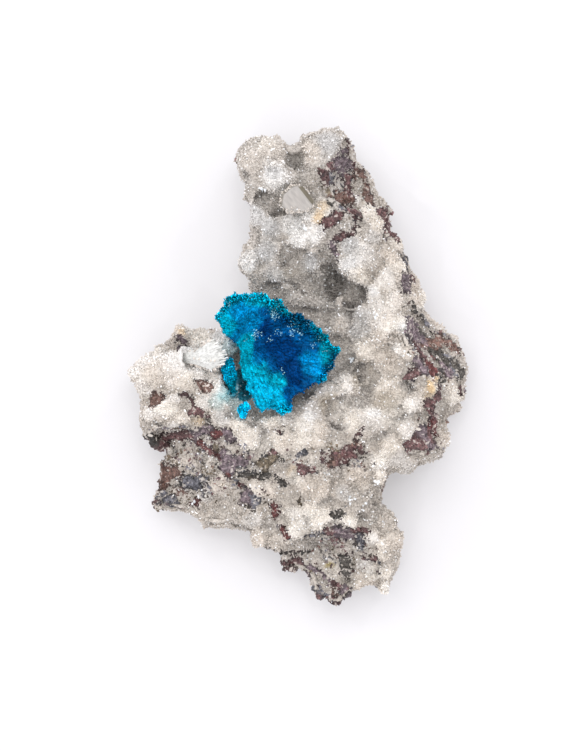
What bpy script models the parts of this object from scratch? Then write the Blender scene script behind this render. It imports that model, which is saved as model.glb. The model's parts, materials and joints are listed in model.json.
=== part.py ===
"""A cavansite rosette on a lump of zeolite-coated breccia, lying on its back.

Lengths below are in millimetres unless their name says otherwise; the finished objects are in metres, +Z up.
The origin is the middle of the specimen's flat foot, and +Y runs along its length.
"""

import math
import random

import bmesh
import bpy
import numpy as np
from mathutils import Matrix, Vector, noise

MM = 0.001

# Sizes that drive the matrix
MATRIX_LENGTH = 71.6
MATRIX_WIDTH = 51.8
RIM_HEIGHT = 8.5  # the outline's height above the foot
RIM_WALL = 1.2  # half the upright band that runs round the outline
TOP_ROUNDING = 4.6  # how far in from the outline the druse's shoulder reaches
BROKEN_ROUNDING = 8.0  # the same where the rock is broken and slopes
FOOT_ROUNDING = 9.0  # the same on the underside
FOOT_SINK = 1.0  # how far the underside reaches below the plane that cuts the foot flat
RELIEF_BLUR = 2.6  # how far each height in the RELIEF table spreads
BLANK_VOXEL = 0.8
FUSED_VOXEL = 0.62
BEAD_SIZE = 3.3  # spacing of the small round swellings on the druse
BEAD_RISE = 1.1
FLAKE_SIZE = 4.2  # spacing of the flat steps on bare rock
FLAKE_RISE = 1.7
CHIP_SIZE = 2.1
CHIP_RISE = 0.7
WALL_SWELL = 2.2  # how far the sides below the rim are worn back
MATRIX_TRIANGLES = 5200

# Sizes that drive the cavansite
ROOT = Vector((-7.0, 2.8, 14.0))  # the point that the rosette's blades spread from
CORE_SHARE = 0.92  # how much of each blade is buried in the rosette's body
TIP_SPACING = 1.75
TIP_SCATTER = 0.4
BLADE_WIDTH = 2.25
BLADE_THICKNESS = 1.4
BLADE_POINT = 0.8  # height of the low pyramid that closes a blade
BLADE_START = 0.72  # share of the way from the root to the tip at which a blade begins
CORE_TAPER = 0.8  # how fast the rosette's body narrows down to its root
CORE_TRIANGLES = 600
ROSETTE_TRIANGLES = 2600
CREST_BLUR = 1.9  # how far each height in the CREST table spreads
SEAT_GAP = 0.32  # clearance between a crystal and the socket that it sits in
SEAT_VOXEL = 0.24
SOCKET_TRIANGLES = 420

# The outline seen from above, clockwise from the top-left knob
OUTLINE = [
    (-9.1, 31.0), (-8.7, 33.0), (-6.7, 34.2), (-4.7, 34.8), (-2.5, 34.8), (-0.3, 33.9), (2.2, 35.1),
    (4.0, 35.6), (6.0, 35.7), (7.5, 35.2), (8.2, 33.9), (9.0, 31.5), (10.2, 30.0), (11.7, 27.8),
    (12.9, 25.5), (14.4, 24.1), (14.6, 22.5), (14.2, 21.3), (15.2, 19.3), (16.5, 17.8), (17.4, 15.1),
    (18.4, 12.5), (19.4, 10.2), (20.1, 7.3), (21.7, 6.3), (23.4, 5.1), (24.6, 3.0), (25.3, 1.1),
    (26.0, -0.8), (25.1, -4.4), (24.4, -6.3), (23.0, -8.1), (22.8, -10.5), (22.3, -12.7), (21.3, -14.4),
    (19.7, -15.6), (18.2, -16.9), (16.4, -17.6), (13.7, -19.1), (13.8, -20.5), (14.9, -22.0), (15.7, -24.2),
    (16.1, -26.0), (15.8, -28.4), (15.1, -30.0), (14.4, -31.6), (13.9, -33.6), (12.9, -34.5), (11.1, -33.1),
    (8.8, -33.6), (7.3, -34.9), (5.3, -35.9), (3.3, -34.9), (1.8, -33.3), (0.6, -31.2), (-2.7, -30.7),
    (-3.1, -29.1), (-5.3, -28.2), (-6.9, -27.1), (-7.2, -25.6), (-9.8, -25.8), (-11.6, -25.2),
    (-14.0, -24.5), (-15.5, -23.1), (-17.1, -22.1), (-19.3, -21.8), (-21.2, -21.1), (-22.1, -19.9),
    (-21.5, -18.3), (-21.4, -16.1), (-21.0, -13.8), (-20.3, -12.2), (-22.7, -11.9), (-23.3, -10.6),
    (-24.1, -8.3), (-24.2, -3.7), (-25.2, -2.0), (-25.8, -0.6), (-25.0, 0.4), (-22.8, 2.0), (-21.0, 3.1),
    (-19.8, 3.7), (-18.6, 5.4), (-17.6, 6.6), (-16.4, 6.8), (-15.2, 6.2), (-12.1, 6.1), (-9.9, 6.9),
    (-8.6, 9.2), (-8.0, 11.5), (-9.0, 13.5), (-9.3, 15.6), (-9.2, 17.4), (-8.0, 19.3), (-8.5, 21.8),
    (-8.0, 23.3), (-8.6, 25.3), (-8.5, 26.9), (-9.6, 29.2),
]

# Heights of the top side above the foot, as x, y, height
RELIEF = [
    (-5, 31, 19), (-4, 27.5, 19.5), (4.5, 33.0, 19), (7, 27, 21.5), (0, 24, 19), (-5, 21, 17), (3, 20, 19),
    (11, 21, 21.5), (-6, 16, 15.5), (-2, 14, 15), (5, 12.5, 12.5), (8, 16, 17.5), (1, 10, 13.5),
    (12, 12, 19), (14, 6, 21.5), (18, 9, 20), (9, 8, 15.5), (10.5, 2, 18), (17, 2, 21), (20, 0, 20.5),
    (7.2, -2.4, 18.5), (2, -5, 19.5), (-4, -8, 19.5), (3.5, 3.5, 13.5), (-3, 4, 13.0), (-4.5, -1.5, 12.5),
    (10.8, -0.6, 15.5), (-8.2, -1.0, 12.0), (11, -6, 18), (18, -5, 20), (12.5, -14, 17), (20, -10, 16),
    (1, -12.5, 19), (-6, -11, 19.5), (-11, -6, 19), (-14, 2.0, 20), (-12.5, -3, 19), (-20, -0.8, 17),
    (-17, 5.5, 13), (-20, -6.5, 16.5), (-16, -11, 17.5), (-13, -15, 17), (-19, -18, 11.5), (-12, -21, 12.5),
    (-6, -18, 16), (-3, -24, 13.5), (2, -20, 17), (4.5, -24, 15.5), (12, -21, 15.5), (13.5, -27, 15),
    (13, -32, 11), (7, -28, 12), (1, -28, 10.5), (5, -33.5, 9.5),
]

# Rounded swellings of the druse, as x, y, radius and how far each stands above the relief
LUMPS = [
    (-5.5, 31.0, 3.9, 1.4), (-3.9, 27.8, 3.3, 1.8), (-7.3, 28.8, 2.0, 0.6), (4.4, 33.2, 3.3, 1.4),
    (1.0, 33.2, 1.8, 0.6), (-5.2, 21.9, 3.0, 1.5), (-6.9, 24.4, 2.0, 0.9), (-6.1, 17.3, 2.9, 1.5),
    (2.2, 21.6, 2.4, 1.0), (1.7, 18.7, 2.6, 1.3), (-2.0, 18.8, 2.2, 1.0), (-7.3, 14.9, 2.1, 1.0),
    (-2.6, 14.0, 2.8, 1.6), (1.9, 14.8, 2.0, 0.9), (8.2, 15.2, 3.5, 2.1), (0.7, 9.9, 2.9, 1.6),
    (6.0, 8.6, 2.3, 1.4), (11.2, 11.6, 2.4, 1.6), (9.2, 8.2, 2.2, 1.2), (13.0, 6.3, 3.4, 1.8),
    (10.2, 2.2, 2.9, 1.7), (15.8, 1.8, 2.5, 1.2), (5.7, 5.0, 2.0, 1.2), (15.2, 9.9, 2.6, 1.0),
    (10.6, 19.6, 3.1, 1.3), (13.6, 15.6, 2.4, 1.1), (7.2, -2.2, 2.4, 2.2), (4.4, -3.9, 2.1, 2.0),
    (1.4, -5.4, 2.1, 1.8), (-1.8, -7.2, 2.1, 1.6), (-5.0, -8.6, 2.0, 1.3), (10.9, -6.3, 2.3, 1.6),
    (16.4, -5.6, 2.2, 1.3), (12.7, -1.9, 2.3, 1.3), (15.5, -0.9, 2.0, 0.9), (11.8, -14.6, 2.6, 1.7),
    (7.8, -11.4, 2.3, 1.2), (15.2, -11.2, 2.4, 1.1), (19.4, -11.6, 2.5, 0.9), (1.5, -20.7, 2.6, 1.5),
    (4.1, -22.5, 2.4, 1.5), (-0.7, -24.2, 2.6, 1.3), (7.6, -22.9, 2.2, 1.1), (12.6, -23.6, 3.5, 1.3),
    (13.0, -29.4, 2.9, 1.3), (12.6, -32.8, 1.5, 0.7), (5.3, -33.2, 1.6, 0.9), (-16.6, 5.2, 1.9, 1.2),
    (-20.6, 1.9, 1.6, 0.9), (-11.6, -2.8, 2.8, 1.5), (-9.9, 3.9, 1.7, 1.6), (-20.6, -6.0, 2.6, 1.1),
    (-17.2, -3.6, 2.4, 0.9), (-22.6, -1.2, 1.9, 0.9), (-19.8, 0.3, 1.9, 1.6), (-17.0, 1.3, 2.0, 2.0),
    (-8.4, -8.2, 2.0, 1.1), (4.3, -14.6, 2.4, 1.2), (10.0, -18.6, 2.1, 0.9), (-20.2, -19.4, 1.7, 0.8),
    (-4.6, -16.4, 2.0, 0.9), (-8.4, -22.8, 2.0, 0.9),
]

# Hollows between the swellings, as x, y, radius, depth
HOLLOWS = [
    (5.7, 12.2, 1.9, 2.6), (7.9, 10.6, 1.5, 2.2), (-3.6, 11.6, 1.8, 1.8), (9.7, -0.2, 1.5, 2.2),
    (-0.4, 30.8, 1.7, 2.6), (-2.6, 24.6, 1.6, 2.0), (-1.4, 21.2, 1.2, 1.4), (3.4, 12.0, 1.6, 1.6),
    (-4.2, 19.0, 1.2, 1.2), (-8.6, 1.0, 1.3, 3.0), (-7.4, -2.6, 1.2, 2.6), (-5.6, -5.2, 1.2, 1.6),
    (13.4, -4.0, 1.4, 1.4), (9.8, -9.2, 1.8, 1.4), (9.2, -17.0, 1.6, 1.4), (6.0, -17.6, 1.4, 1.2),
    (-9.2, -12.0, 1.4, 1.2), (-15.2, -8.2, 1.4, 1.2), (9.6, -25.8, 1.6, 1.4), (-18.4, 3.6, 1.2, 1.6),
    (-12.6, 4.6, 1.4, 1.2), (12.0, 16.8, 1.3, 1.0), (13.0, -19.4, 1.6, 1.2),
]

# Faces where the rock broke and carries no druse, as x, y, half length, half width, angle in degrees
BROKEN = [
    (11.6, 25.6, 10.0, 3.0, -58), (18.2, 12.5, 6.5, 1.8, -68), (22.0, 2.2, 6.5, 4.2, -52),
    (23.6, -5.0, 6.0, 2.6, -100), (-13.5, -16.5, 9.5, 5.2, -20), (-17.0, -11.6, 6.0, 1.8, 10),
    (2.8, -30.6, 5.0, 3.6, -40), (8.0, 26.8, 3.6, 3.4, 0), (6.5, -9.0, 3.2, 2.0, 30),
]

# The rosette's rim seen from above, anticlockwise from the blade that points right
ROSETTE_RIM = [
    (6.4, 2.6), (4.8, 4.4), (3.5, 5.7), (2.1, 6.6), (0.1, 7.5), (-1.4, 7.6), (-1.7, 9.2), (-2.6, 10.0),
    (-4.8, 10.8), (-6.4, 10.9), (-7.9, 11.1), (-9.6, 11.0), (-10.5, 10.2), (-12.5, 7.5), (-11.0, 5.7),
    (-9.2, 4.5), (-8.3, 3.0), (-8.2, 0.2), (-7.8, -1.5), (-6.8, -3.7), (-6.1, -4.9), (-5.6, -6.2),
    (-5.0, -6.8), (-4.3, -6.4), (-2.4, -6.9), (-1.0, -6.8), (-0.8, -4.9), (0.4, -3.6), (1.6, -2.7),
    (2.6, -2.2), (4.0, -1.6), (5.1, 0.2),
]

# Heights of the blades' tips above the foot, as x, y, height
CREST = [
    (6.0, 2.6, 21.6), (4.5, 4.0, 22.2), (4.2, 0.6, 22.4), (3.2, -1.2, 22.4), (2.2, 5.8, 22.8),
    (1.8, 2.4, 24.6), (0.2, 6.4, 22.9), (1.4, -1.2, 24.0), (-0.6, 4.4, 24.2), (-1.4, 7.0, 22.4),
    (-1.4, 1.4, 26.2), (0.0, -3.0, 24.4), (-2.6, 9.2, 23.2), (-3.4, 5.6, 25.2), (-3.2, -0.6, 26.8),
    (-1.8, -3.6, 26.2), (-1.6, -6.2, 23.6), (-4.8, 10.2, 23.6), (-5.6, 7.0, 25.6), (-5.0, 2.8, 26.6),
    (-5.4, -0.4, 25.4), (-4.0, -3.0, 24.4), (-3.6, -5.6, 22.4), (-7.9, 10.4, 23.2), (-8.6, 7.2, 24.8),
    (-7.0, 4.8, 25.2), (-7.0, 1.6, 24.0), (-6.8, -1.6, 21.8), (-5.8, -4.4, 20.6), (-5.0, -6.4, 20.2),
    (-10.4, 9.4, 22.4), (-11.8, 7.6, 21.8), (-10.4, 5.8, 22.0), (-8.2, 2.6, 21.6), (-8.0, 0.4, 20.8),
]

# The small fans: where each one's blades spread from, where they end, and how broad and thick they are
FANS = {
    "cavansite_side_spray": {
        "root": (-9.5, -3.2, 13.4),
        "tips": [
            (-10.4, 1.4, 19.0), (-10.9, 0.2, 18.6), (-10.1, 0.6, 20.0), (-9.7, -0.6, 19.6),
            (-10.5, -1.2, 19.2), (-9.9, -2.2, 19.0), (-9.6, -3.0, 18.2),
        ],
        "width": 1.3, "thickness": 0.8, "triangles": 300,
    },
    "cavansite_chip": {
        "root": (-8.2, -6.4, 18.4),
        "tips": [(-7.6, -5.4, 21.4), (-8.5, -6.0, 21.2), (-8.0, -6.9, 21.0)],
        "width": 1.2, "thickness": 0.8, "triangles": 100,
    },
    "stilbite_sheaf": {
        "root": (-16.4, 1.2, 17.8),
        "tips": [
            (-11.7, 3.3, 21.2), (-11.1, 2.4, 21.4), (-10.9, 1.5, 21.3), (-11.2, 0.6, 21.0),
            (-12.0, 3.8, 20.6), (-12.0, 0.0, 20.4),
        ],
        "width": 2.3, "thickness": 1.5, "triangles": 260,
    },
}

# The glassy crystal: a bevelled block on the knob above the rosette
TABLET_CENTRE = Vector((-0.5, 24.2, 20.6))
TABLET_SIZE = (3.9, 4.3, 2.4)
TABLET_FACING = Vector((-0.35, 0.25, 1))
TABLET_SPIN = 38  # degrees about its facing
TABLET_BEVEL = 0.9


def clear_scene():
    for obj in list(bpy.data.objects):
        bpy.data.objects.remove(obj)


def new_collection(name):
    collection = bpy.data.collections.new(name)
    bpy.context.scene.collection.children.link(collection)
    return collection


def mineral(name, colour, roughness):
    """A plain Principled material in the mineral's own colour."""
    material = bpy.data.materials.new(name)
    material.use_nodes = True
    shader = material.node_tree.nodes["Principled BSDF"]
    shader.inputs["Base Color"].default_value = (*colour, 1.0)
    shader.inputs["Roughness"].default_value = roughness
    shader.inputs["Metallic"].default_value = 0.0
    material.diffuse_color = (*colour, 1.0)
    return material


def object_from(build, name, collection=None):
    """A new mesh object in metres, from a bmesh built in millimetres. Without a collection it stays loose."""
    bmesh.ops.scale(build, vec=(MM, MM, MM), verts=build.verts)
    mesh = bpy.data.meshes.new(name)
    build.to_mesh(mesh)
    build.free()
    obj = bpy.data.objects.new(name, mesh)
    if collection:
        collection.objects.link(obj)
    return obj


def apply_modifiers(obj):
    """Swaps the object's mesh for its evaluated one and drops the modifiers."""
    graph = bpy.context.evaluated_depsgraph_get()
    mesh = bpy.data.meshes.new_from_object(obj.evaluated_get(graph))
    obj.modifiers.clear()
    obj.data = mesh


def remesh(obj, voxel):
    """Fuses everything in the object into one even skin."""
    modifier = obj.modifiers.new("even skin", "REMESH")
    modifier.mode = "VOXEL"
    modifier.voxel_size = voxel * MM
    apply_modifiers(obj)


def thin_out(obj, triangles):
    """Collapses the finest edges until about this many triangles are left."""
    obj.data.calc_loop_triangles()
    modifier = obj.modifiers.new("flat facets", "DECIMATE")
    modifier.ratio = min(1.0, triangles / len(obj.data.loop_triangles))
    modifier.use_collapse_triangulate = True
    apply_modifiers(obj)


def drop_slivers(obj):
    """Keeps the largest connected body and removes the stray slivers that thinning can leave."""
    build = bmesh.new()
    build.from_mesh(obj.data)
    waiting = set(build.verts)
    bodies = []
    while waiting:
        body = {waiting.pop()}
        edge_of_body = list(body)
        while edge_of_body:
            vertex = edge_of_body.pop()
            fresh = {edge.other_vert(vertex) for edge in vertex.link_edges} & waiting
            waiting -= fresh
            body |= fresh
            edge_of_body.extend(fresh)
        bodies.append(body)
    largest = max(bodies, key=len)
    strays = [vertex for vertex in build.verts if vertex not in largest]
    bmesh.ops.delete(build, geom=strays, context="VERTS")
    build.to_mesh(obj.data)
    build.free()


def points_of(mesh):
    """The mesh's points in millimetres, one row each."""
    points = np.empty(len(mesh.vertices) * 3)
    mesh.vertices.foreach_get("co", points)
    return points.reshape(-1, 3) / MM


def set_points(mesh, points):
    mesh.vertices.foreach_set("co", (points * MM).astype(np.float32).ravel())
    mesh.update()


def rim_distance(x, y):
    """How far each point lies from the outline."""
    start = np.array(OUTLINE)
    along = np.roll(start, -1, axis=0) - start
    offset = np.stack([x, y], axis=1)[:, None, :] - start[None]
    share = np.clip((offset * along).sum(2) / (along**2).sum(1), 0, 1)
    return np.linalg.norm(offset - share[..., None] * along, axis=2).min(1)


def blended(spots, blur, x, y):
    """A height at each place, blended from the spots near it."""
    spots = np.array(spots)
    square = (x[:, None] - spots[:, 0]) ** 2 + (y[:, None] - spots[:, 1]) ** 2
    weight = np.exp(-square / (2 * blur**2)) + 1e-9
    return (weight * spots[:, 2]).sum(1) / weight.sum(1)


def relief_height(x, y):
    """Height of the top side, blended from the RELIEF spots and dented by the HOLLOWS."""
    height = blended(RELIEF, RELIEF_BLUR, x, y)
    for hollow_x, hollow_y, radius, depth in HOLLOWS:
        square = (x - hollow_x) ** 2 + (y - hollow_y) ** 2
        height -= depth * np.exp(-square / radius**2)
    return height


def broken_share(x, y):
    """1 on a broken face, 0 on the druse, with a soft edge between."""
    share = np.zeros_like(x)
    for centre_x, centre_y, half_length, half_width, angle in BROKEN:
        turn = math.radians(angle)
        along = (x - centre_x) * math.cos(turn) + (y - centre_y) * math.sin(turn)
        across = (y - centre_y) * math.cos(turn) - (x - centre_x) * math.sin(turn)
        inside = 1.25 - np.hypot(along / half_length, across / half_width)
        share = np.maximum(share, np.clip(inside * 2, 0, 1))
    return share


def outline_slab(collection):
    """A slab with the specimen's outline, from a filled 2D curve."""
    curve = bpy.data.curves.new("outline", "CURVE")
    curve.dimensions = "2D"
    curve.fill_mode = "BOTH"
    curve.extrude = MM
    spline = curve.splines.new("POLY")
    spline.points.add(len(OUTLINE) - 1)
    for point, (x, y) in zip(spline.points, OUTLINE):
        point.co = (x * MM, y * MM, 0, 1)
    spline.use_cyclic_u = True
    flat = bpy.data.objects.new("outline", curve)
    collection.objects.link(flat)
    graph = bpy.context.evaluated_depsgraph_get()
    mesh = bpy.data.meshes.new_from_object(flat.evaluated_get(graph))
    bpy.data.objects.remove(flat)
    build = bmesh.new()
    build.from_mesh(mesh)
    bmesh.ops.remove_doubles(build, verts=build.verts, dist=0.01 * MM)
    build.to_mesh(mesh)
    build.free()
    slab = bpy.data.objects.new("matrix", mesh)
    collection.objects.link(slab)
    return slab


def raise_relief(slab):
    """Turns the flat slab into the rock: its top follows the relief, its underside rounds up to the rim."""
    points = points_of(slab.data)
    x, y, level = points[:, 0], points[:, 1], np.clip((points[:, 2] + 1) / 2, 0, 1)
    rim = rim_distance(x, y)
    broken = broken_share(x, y)
    rounding = TOP_ROUNDING + (BROKEN_ROUNDING - TOP_ROUNDING) * broken
    inward = np.clip(rim / rounding, 0, 1)
    dome = np.sqrt(1 - (1 - inward) ** 2)
    rise = dome * (1 - broken) + inward * broken
    rim_top = RIM_HEIGHT + RIM_WALL + 1.5 * np.sin(x * 0.21) * np.cos(y * 0.17)
    top = rim_top + (relief_height(x, y) - rim_top) * rise
    under = np.clip(rim / FOOT_ROUNDING, 0, 1)
    bottom = (rim_top - 2 * RIM_WALL + FOOT_SINK) * (1 - np.sqrt(1 - (1 - under) ** 2)) - FOOT_SINK
    points[:, 2] = bottom + (top - bottom) * level
    set_points(slab.data, points)


def add_lumps(rock):
    """Sinks a ball into the relief for each rounded swelling."""
    x, y, radius, rise = np.array(LUMPS).T
    height = relief_height(x, y)
    build = bmesh.new()
    build.from_mesh(rock.data)
    for place in range(len(LUMPS)):
        r = radius[place]
        centre = Vector((x[place], y[place], height[place] + rise[place] - r)) * MM
        bmesh.ops.create_icosphere(build, subdivisions=3, radius=r * MM, matrix=Matrix.Translation(centre))
    build.to_mesh(rock.data)
    build.free()


def flat_step(spot, size):
    """0 in the middle of a step and about 1 at its corners, with straight edges between steps."""
    return noise.voronoi(spot / size, distance_metric="CHEBYCHEV")[0][0]


def roughen(rock):
    """Beads the druse with small round swellings, and steps and wears back the bare rock."""
    points = points_of(rock.data)
    normals = np.array([vertex.normal[:] for vertex in rock.data.vertices])
    bare = broken_share(points[:, 0], points[:, 1])
    wall = np.clip((RIM_HEIGHT - 1 - points[:, 2]) / 3, 0, 1)
    bare = np.maximum(bare, wall)
    push = np.empty(len(points))
    for place, point in enumerate(points):
        spot = Vector(point)
        near = noise.voronoi(spot / BEAD_SIZE)[0][0]
        bead = BEAD_RISE * (0.4 - near * near)
        step = FLAKE_RISE * (0.4 - flat_step(spot, FLAKE_SIZE))
        step += CHIP_RISE * (0.4 - flat_step(spot, CHIP_SIZE))
        worn = -WALL_SWELL * abs(noise.noise(spot / (2 * FLAKE_SIZE)))
        push[place] = bead * (1 - bare[place]) + step * bare[place] + worn * wall[place]
    keep_foot = np.clip(points[:, 2] / 2.5, 0, 1)
    set_points(rock.data, points + normals * (push * keep_foot)[:, None])


def make_matrix(collection):
    rock = outline_slab(collection)
    remesh(rock, BLANK_VOXEL)
    raise_relief(rock)
    add_lumps(rock)
    remesh(rock, FUSED_VOXEL)
    roughen(rock)
    thin_out(rock, MATRIX_TRIANGLES)
    return rock


def reach_towards(azimuth):
    """How far the rosette reaches from its root at a bearing in radians."""
    offset = np.array(ROSETTE_RIM) - np.array(ROOT[:2])
    bearing = np.arctan2(offset[:, 1], offset[:, 0])
    order = np.argsort(bearing)
    return float(np.interp(azimuth, bearing[order], np.hypot(*offset.T)[order], period=math.tau))


def crest_point(x, y):
    """The point of the rosette's top that lies over a place in plan."""
    height = blended(CREST, CREST_BLUR, np.array([x]), np.array([y]))[0]
    return Vector((x, y, float(height)))


def blade(start, tip, width, thickness, twist, name="blade"):
    """A rhombic prism from start to tip, wider at its outer end, closed by a low pyramid."""
    along = tip - start
    shaft = along - along.normalized() * BLADE_POINT
    build = bmesh.new()
    bmesh.ops.create_cone(build, segments=4, radius1=0.35, radius2=0.5, depth=shaft.length, cap_ends=True)
    end_cap = max(build.faces, key=lambda face: face.calc_center_median().z)
    peak = bmesh.ops.poke(build, faces=[end_cap])["verts"]
    bmesh.ops.translate(build, verts=peak, vec=(0, 0, BLADE_POINT))
    frame = (
        Matrix.Translation(start + shaft / 2)
        @ along.to_track_quat("Z", "X").to_matrix().to_4x4()
        @ Matrix.Rotation(twist, 4, "Z")
        @ Matrix.Diagonal((width, thickness, 1, 1))
    )
    bmesh.ops.transform(build, matrix=frame, verts=build.verts)
    return object_from(build, name)


def fused(core, blades):
    """Joins each blade to the core. The manifold solver is used because the exact one takes minutes here."""
    for place, obj in enumerate(blades):
        obj.hide_render = True
        obj.display_type = "WIRE"
        union = core.modifiers.new(f"blade {place}", "BOOLEAN")
        union.operation = "UNION"
        union.solver = "MANIFOLD"
        union.object = obj
    apply_modifiers(core)
    for obj in blades:
        bpy.data.objects.remove(obj)
    return core


def rosette_core(collection):
    """The body of the rosette: a ball pulled out to most of each blade's reach."""
    build = bmesh.new()
    bmesh.ops.create_icosphere(build, subdivisions=4, radius=1)
    for vertex in build.verts:
        azimuth = math.atan2(vertex.co.y, vertex.co.x)
        out = reach_towards(azimuth) * math.hypot(vertex.co.x, vertex.co.y)
        over = crest_point(ROOT.x + out * math.cos(azimuth), ROOT.y + out * math.sin(azimuth)) - ROOT
        if vertex.co.z < 0:
            over.z *= (1 + vertex.co.z) ** CORE_TAPER
        vertex.co = ROOT + over * CORE_SHARE
    bmesh.ops.triangulate(build, faces=build.faces)
    core = object_from(build, "cavansite_rosette", collection)
    thin_out(core, CORE_TRIANGLES)
    return core


def rosette_tips(dice):
    """Where the blades end: rows over the whole top, then one row along the rim."""
    tips = []
    edge = np.array(ROSETTE_RIM)
    low, high = edge.min(0), edge.max(0)
    for row, y in enumerate(np.arange(low[1], high[1], TIP_SPACING * math.sqrt(0.75))):
        for x in np.arange(low[0] + TIP_SPACING / 2 * (row % 2), high[0], TIP_SPACING):
            place = Vector((x, y)) + Vector((dice.uniform(-1, 1), dice.uniform(-1, 1))) * TIP_SCATTER
            offset = place - ROOT.xy
            if offset.length < reach_towards(math.atan2(offset.y, offset.x)) - TIP_SPACING / 2:
                tips.append(crest_point(*place))
    for start, end in zip(ROSETTE_RIM, ROSETTE_RIM[1:] + ROSETTE_RIM[:1]):
        start, end = Vector(start), Vector(end)
        steps = max(1, round((end - start).length / TIP_SPACING))
        for step in range(steps):
            tips.append(crest_point(*start.lerp(end, step / steps)))
    return tips


def make_rosette(collection):
    dice = random.Random(11)
    blades = []
    for tip in rosette_tips(dice):
        along = tip - ROOT
        start = ROOT + along * BLADE_START
        end = ROOT + along * dice.uniform(0.96, 1.04)
        width = BLADE_WIDTH * dice.uniform(0.75, 1.3)
        thickness = BLADE_THICKNESS * dice.uniform(0.8, 1.25)
        blades.append(blade(start, end, width, thickness, dice.uniform(0, math.pi)))
    rosette = fused(rosette_core(collection), blades)
    thin_out(rosette, ROSETTE_TRIANGLES)
    drop_slivers(rosette)
    return rosette


def make_fan(name, collection):
    """A small fan of blades from one root, the first of which is the piece that the others join."""
    fan = FANS[name]
    dice = random.Random(5)
    first, *others = [
        blade(
            Vector(fan["root"]), Vector(tip), fan["width"], fan["thickness"], dice.uniform(0, math.pi), name
        )
        for tip in fan["tips"]
    ]
    collection.objects.link(first)
    fused(first, others)
    thin_out(first, fan["triangles"])
    drop_slivers(first)
    return first


def make_tablet(name, collection):
    """A tabular crystal: a block with its upright edges and then its top rim bevelled."""
    build = bmesh.new()
    bmesh.ops.create_cube(build, size=1)
    bmesh.ops.scale(build, vec=TABLET_SIZE, verts=build.verts)
    upright = [edge for edge in build.edges if edge.verts[0].co.z * edge.verts[1].co.z < 0]
    bmesh.ops.bevel(build, geom=upright, offset=TABLET_BEVEL, segments=1, affect="EDGES")
    rim = [edge for edge in build.edges if all(vertex.co.z > 0 for vertex in edge.verts)]
    bmesh.ops.bevel(build, geom=rim, offset=TABLET_BEVEL / 3, segments=1, affect="EDGES")
    place = (
        Matrix.Translation(TABLET_CENTRE)
        @ TABLET_FACING.to_track_quat("Z", "Y").to_matrix().to_4x4()
        @ Matrix.Rotation(math.radians(TABLET_SPIN), 4, "Z")
    )
    bmesh.ops.transform(build, matrix=place, verts=build.verts)
    return object_from(build, name, collection)


def cut_socket(rock, crystal, cutters):
    """Cuts room for a crystal out of the rock: the crystal's own form, grown by the clearance."""
    socket = crystal.copy()
    socket.data = crystal.data.copy()
    socket.name = crystal.name + "_socket"
    cutters.objects.link(socket)
    remesh(socket, SEAT_VOXEL)
    grow = socket.modifiers.new("clearance", "DISPLACE")
    grow.strength = (SEAT_GAP + SEAT_VOXEL / 2) * MM
    grow.mid_level = 0.0
    apply_modifiers(socket)
    thin_out(socket, SOCKET_TRIANGLES)
    subtract(rock, socket)


def subtract(rock, cutter):
    cutter.hide_render = True
    cutter.display_type = "WIRE"
    cut = rock.modifiers.new(cutter.name, "BOOLEAN")
    cut.operation = "DIFFERENCE"
    cut.solver = "MANIFOLD"
    cut.object = cutter


def foot_cutter(cutters):
    """A block under the plane that the specimen rests on."""
    depth = 10.0
    build = bmesh.new()
    bmesh.ops.create_cube(build, size=1)
    bmesh.ops.scale(build, vec=(2 * MATRIX_WIDTH, 2 * MATRIX_LENGTH, depth), verts=build.verts)
    bmesh.ops.translate(build, vec=(0, 0, -depth / 2), verts=build.verts)
    return object_from(build, "foot_cut", cutters)


def stand_on_origin(parts, anchor):
    """Moves everything, through the anchor, so that the foot's middle is the origin."""
    bpy.context.view_layer.update()
    graph = bpy.context.evaluated_depsgraph_get()
    corners = [
        evaluated.matrix_world @ Vector(corner)
        for evaluated in (part.evaluated_get(graph) for part in parts)
        for corner in evaluated.bound_box
    ]
    low = Vector(min(corner[axis] for corner in corners) for axis in range(3))
    high = Vector(max(corner[axis] for corner in corners) for axis in range(3))
    anchor.location = (-(low.x + high.x) / 2, -(low.y + high.y) / 2, -low.z)


def main():
    clear_scene()
    parts = new_collection("cavansite_specimen")
    cutters = new_collection("cutters")
    anchor = bpy.data.objects.new("specimen", None)
    parts.objects.link(anchor)

    breccia = mineral("zeolite-coated breccia", (0.56, 0.53, 0.49), 0.8)
    cavansite = mineral("cavansite", (0.01, 0.22, 0.48), 0.3)
    heulandite = mineral("heulandite", (0.72, 0.70, 0.66), 0.2)
    stilbite = mineral("stilbite", (0.84, 0.83, 0.80), 0.45)

    rosette = make_rosette(parts)
    spray = make_fan("cavansite_side_spray", parts)
    chip = make_fan("cavansite_chip", parts)
    sheaf = make_fan("stilbite_sheaf", parts)
    glassy = make_tablet("heulandite_crystal", parts)

    rock = make_matrix(parts)
    subtract(rock, foot_cutter(cutters))
    for crystal in (rosette, spray, chip, glassy, sheaf):
        cut_socket(rock, crystal, cutters)

    finished = {
        rock: breccia,
        rosette: cavansite,
        spray: cavansite,
        chip: cavansite,
        glassy: heulandite,
        sheaf: stilbite,
    }
    for obj, material in finished.items():
        obj.data.materials.clear()
        obj.data.materials.append(material)
    for obj in [*finished, *cutters.objects]:
        obj.parent = anchor
    stand_on_origin(finished, anchor)


main()
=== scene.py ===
# %% [markdown]
# # A cavansite rosette on a zeolite-coated rock
#
# Cavansite grows as fans of thin blue blades in cavities of basalt. Here one rosette sits on a lump of
# breccia: dark basalt fragments under a crust of tiny colourless zeolite crystals, which mineral people call
# druse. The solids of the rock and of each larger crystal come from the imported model. This script keeps their
# places and sizes, and adds what is too fine for them: the grains of the druse, the blades of the rosette,
# the bare rock between them, and every finish.

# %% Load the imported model
import json
import math

import bpy
import numpy as np
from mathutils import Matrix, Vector, noise

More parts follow.
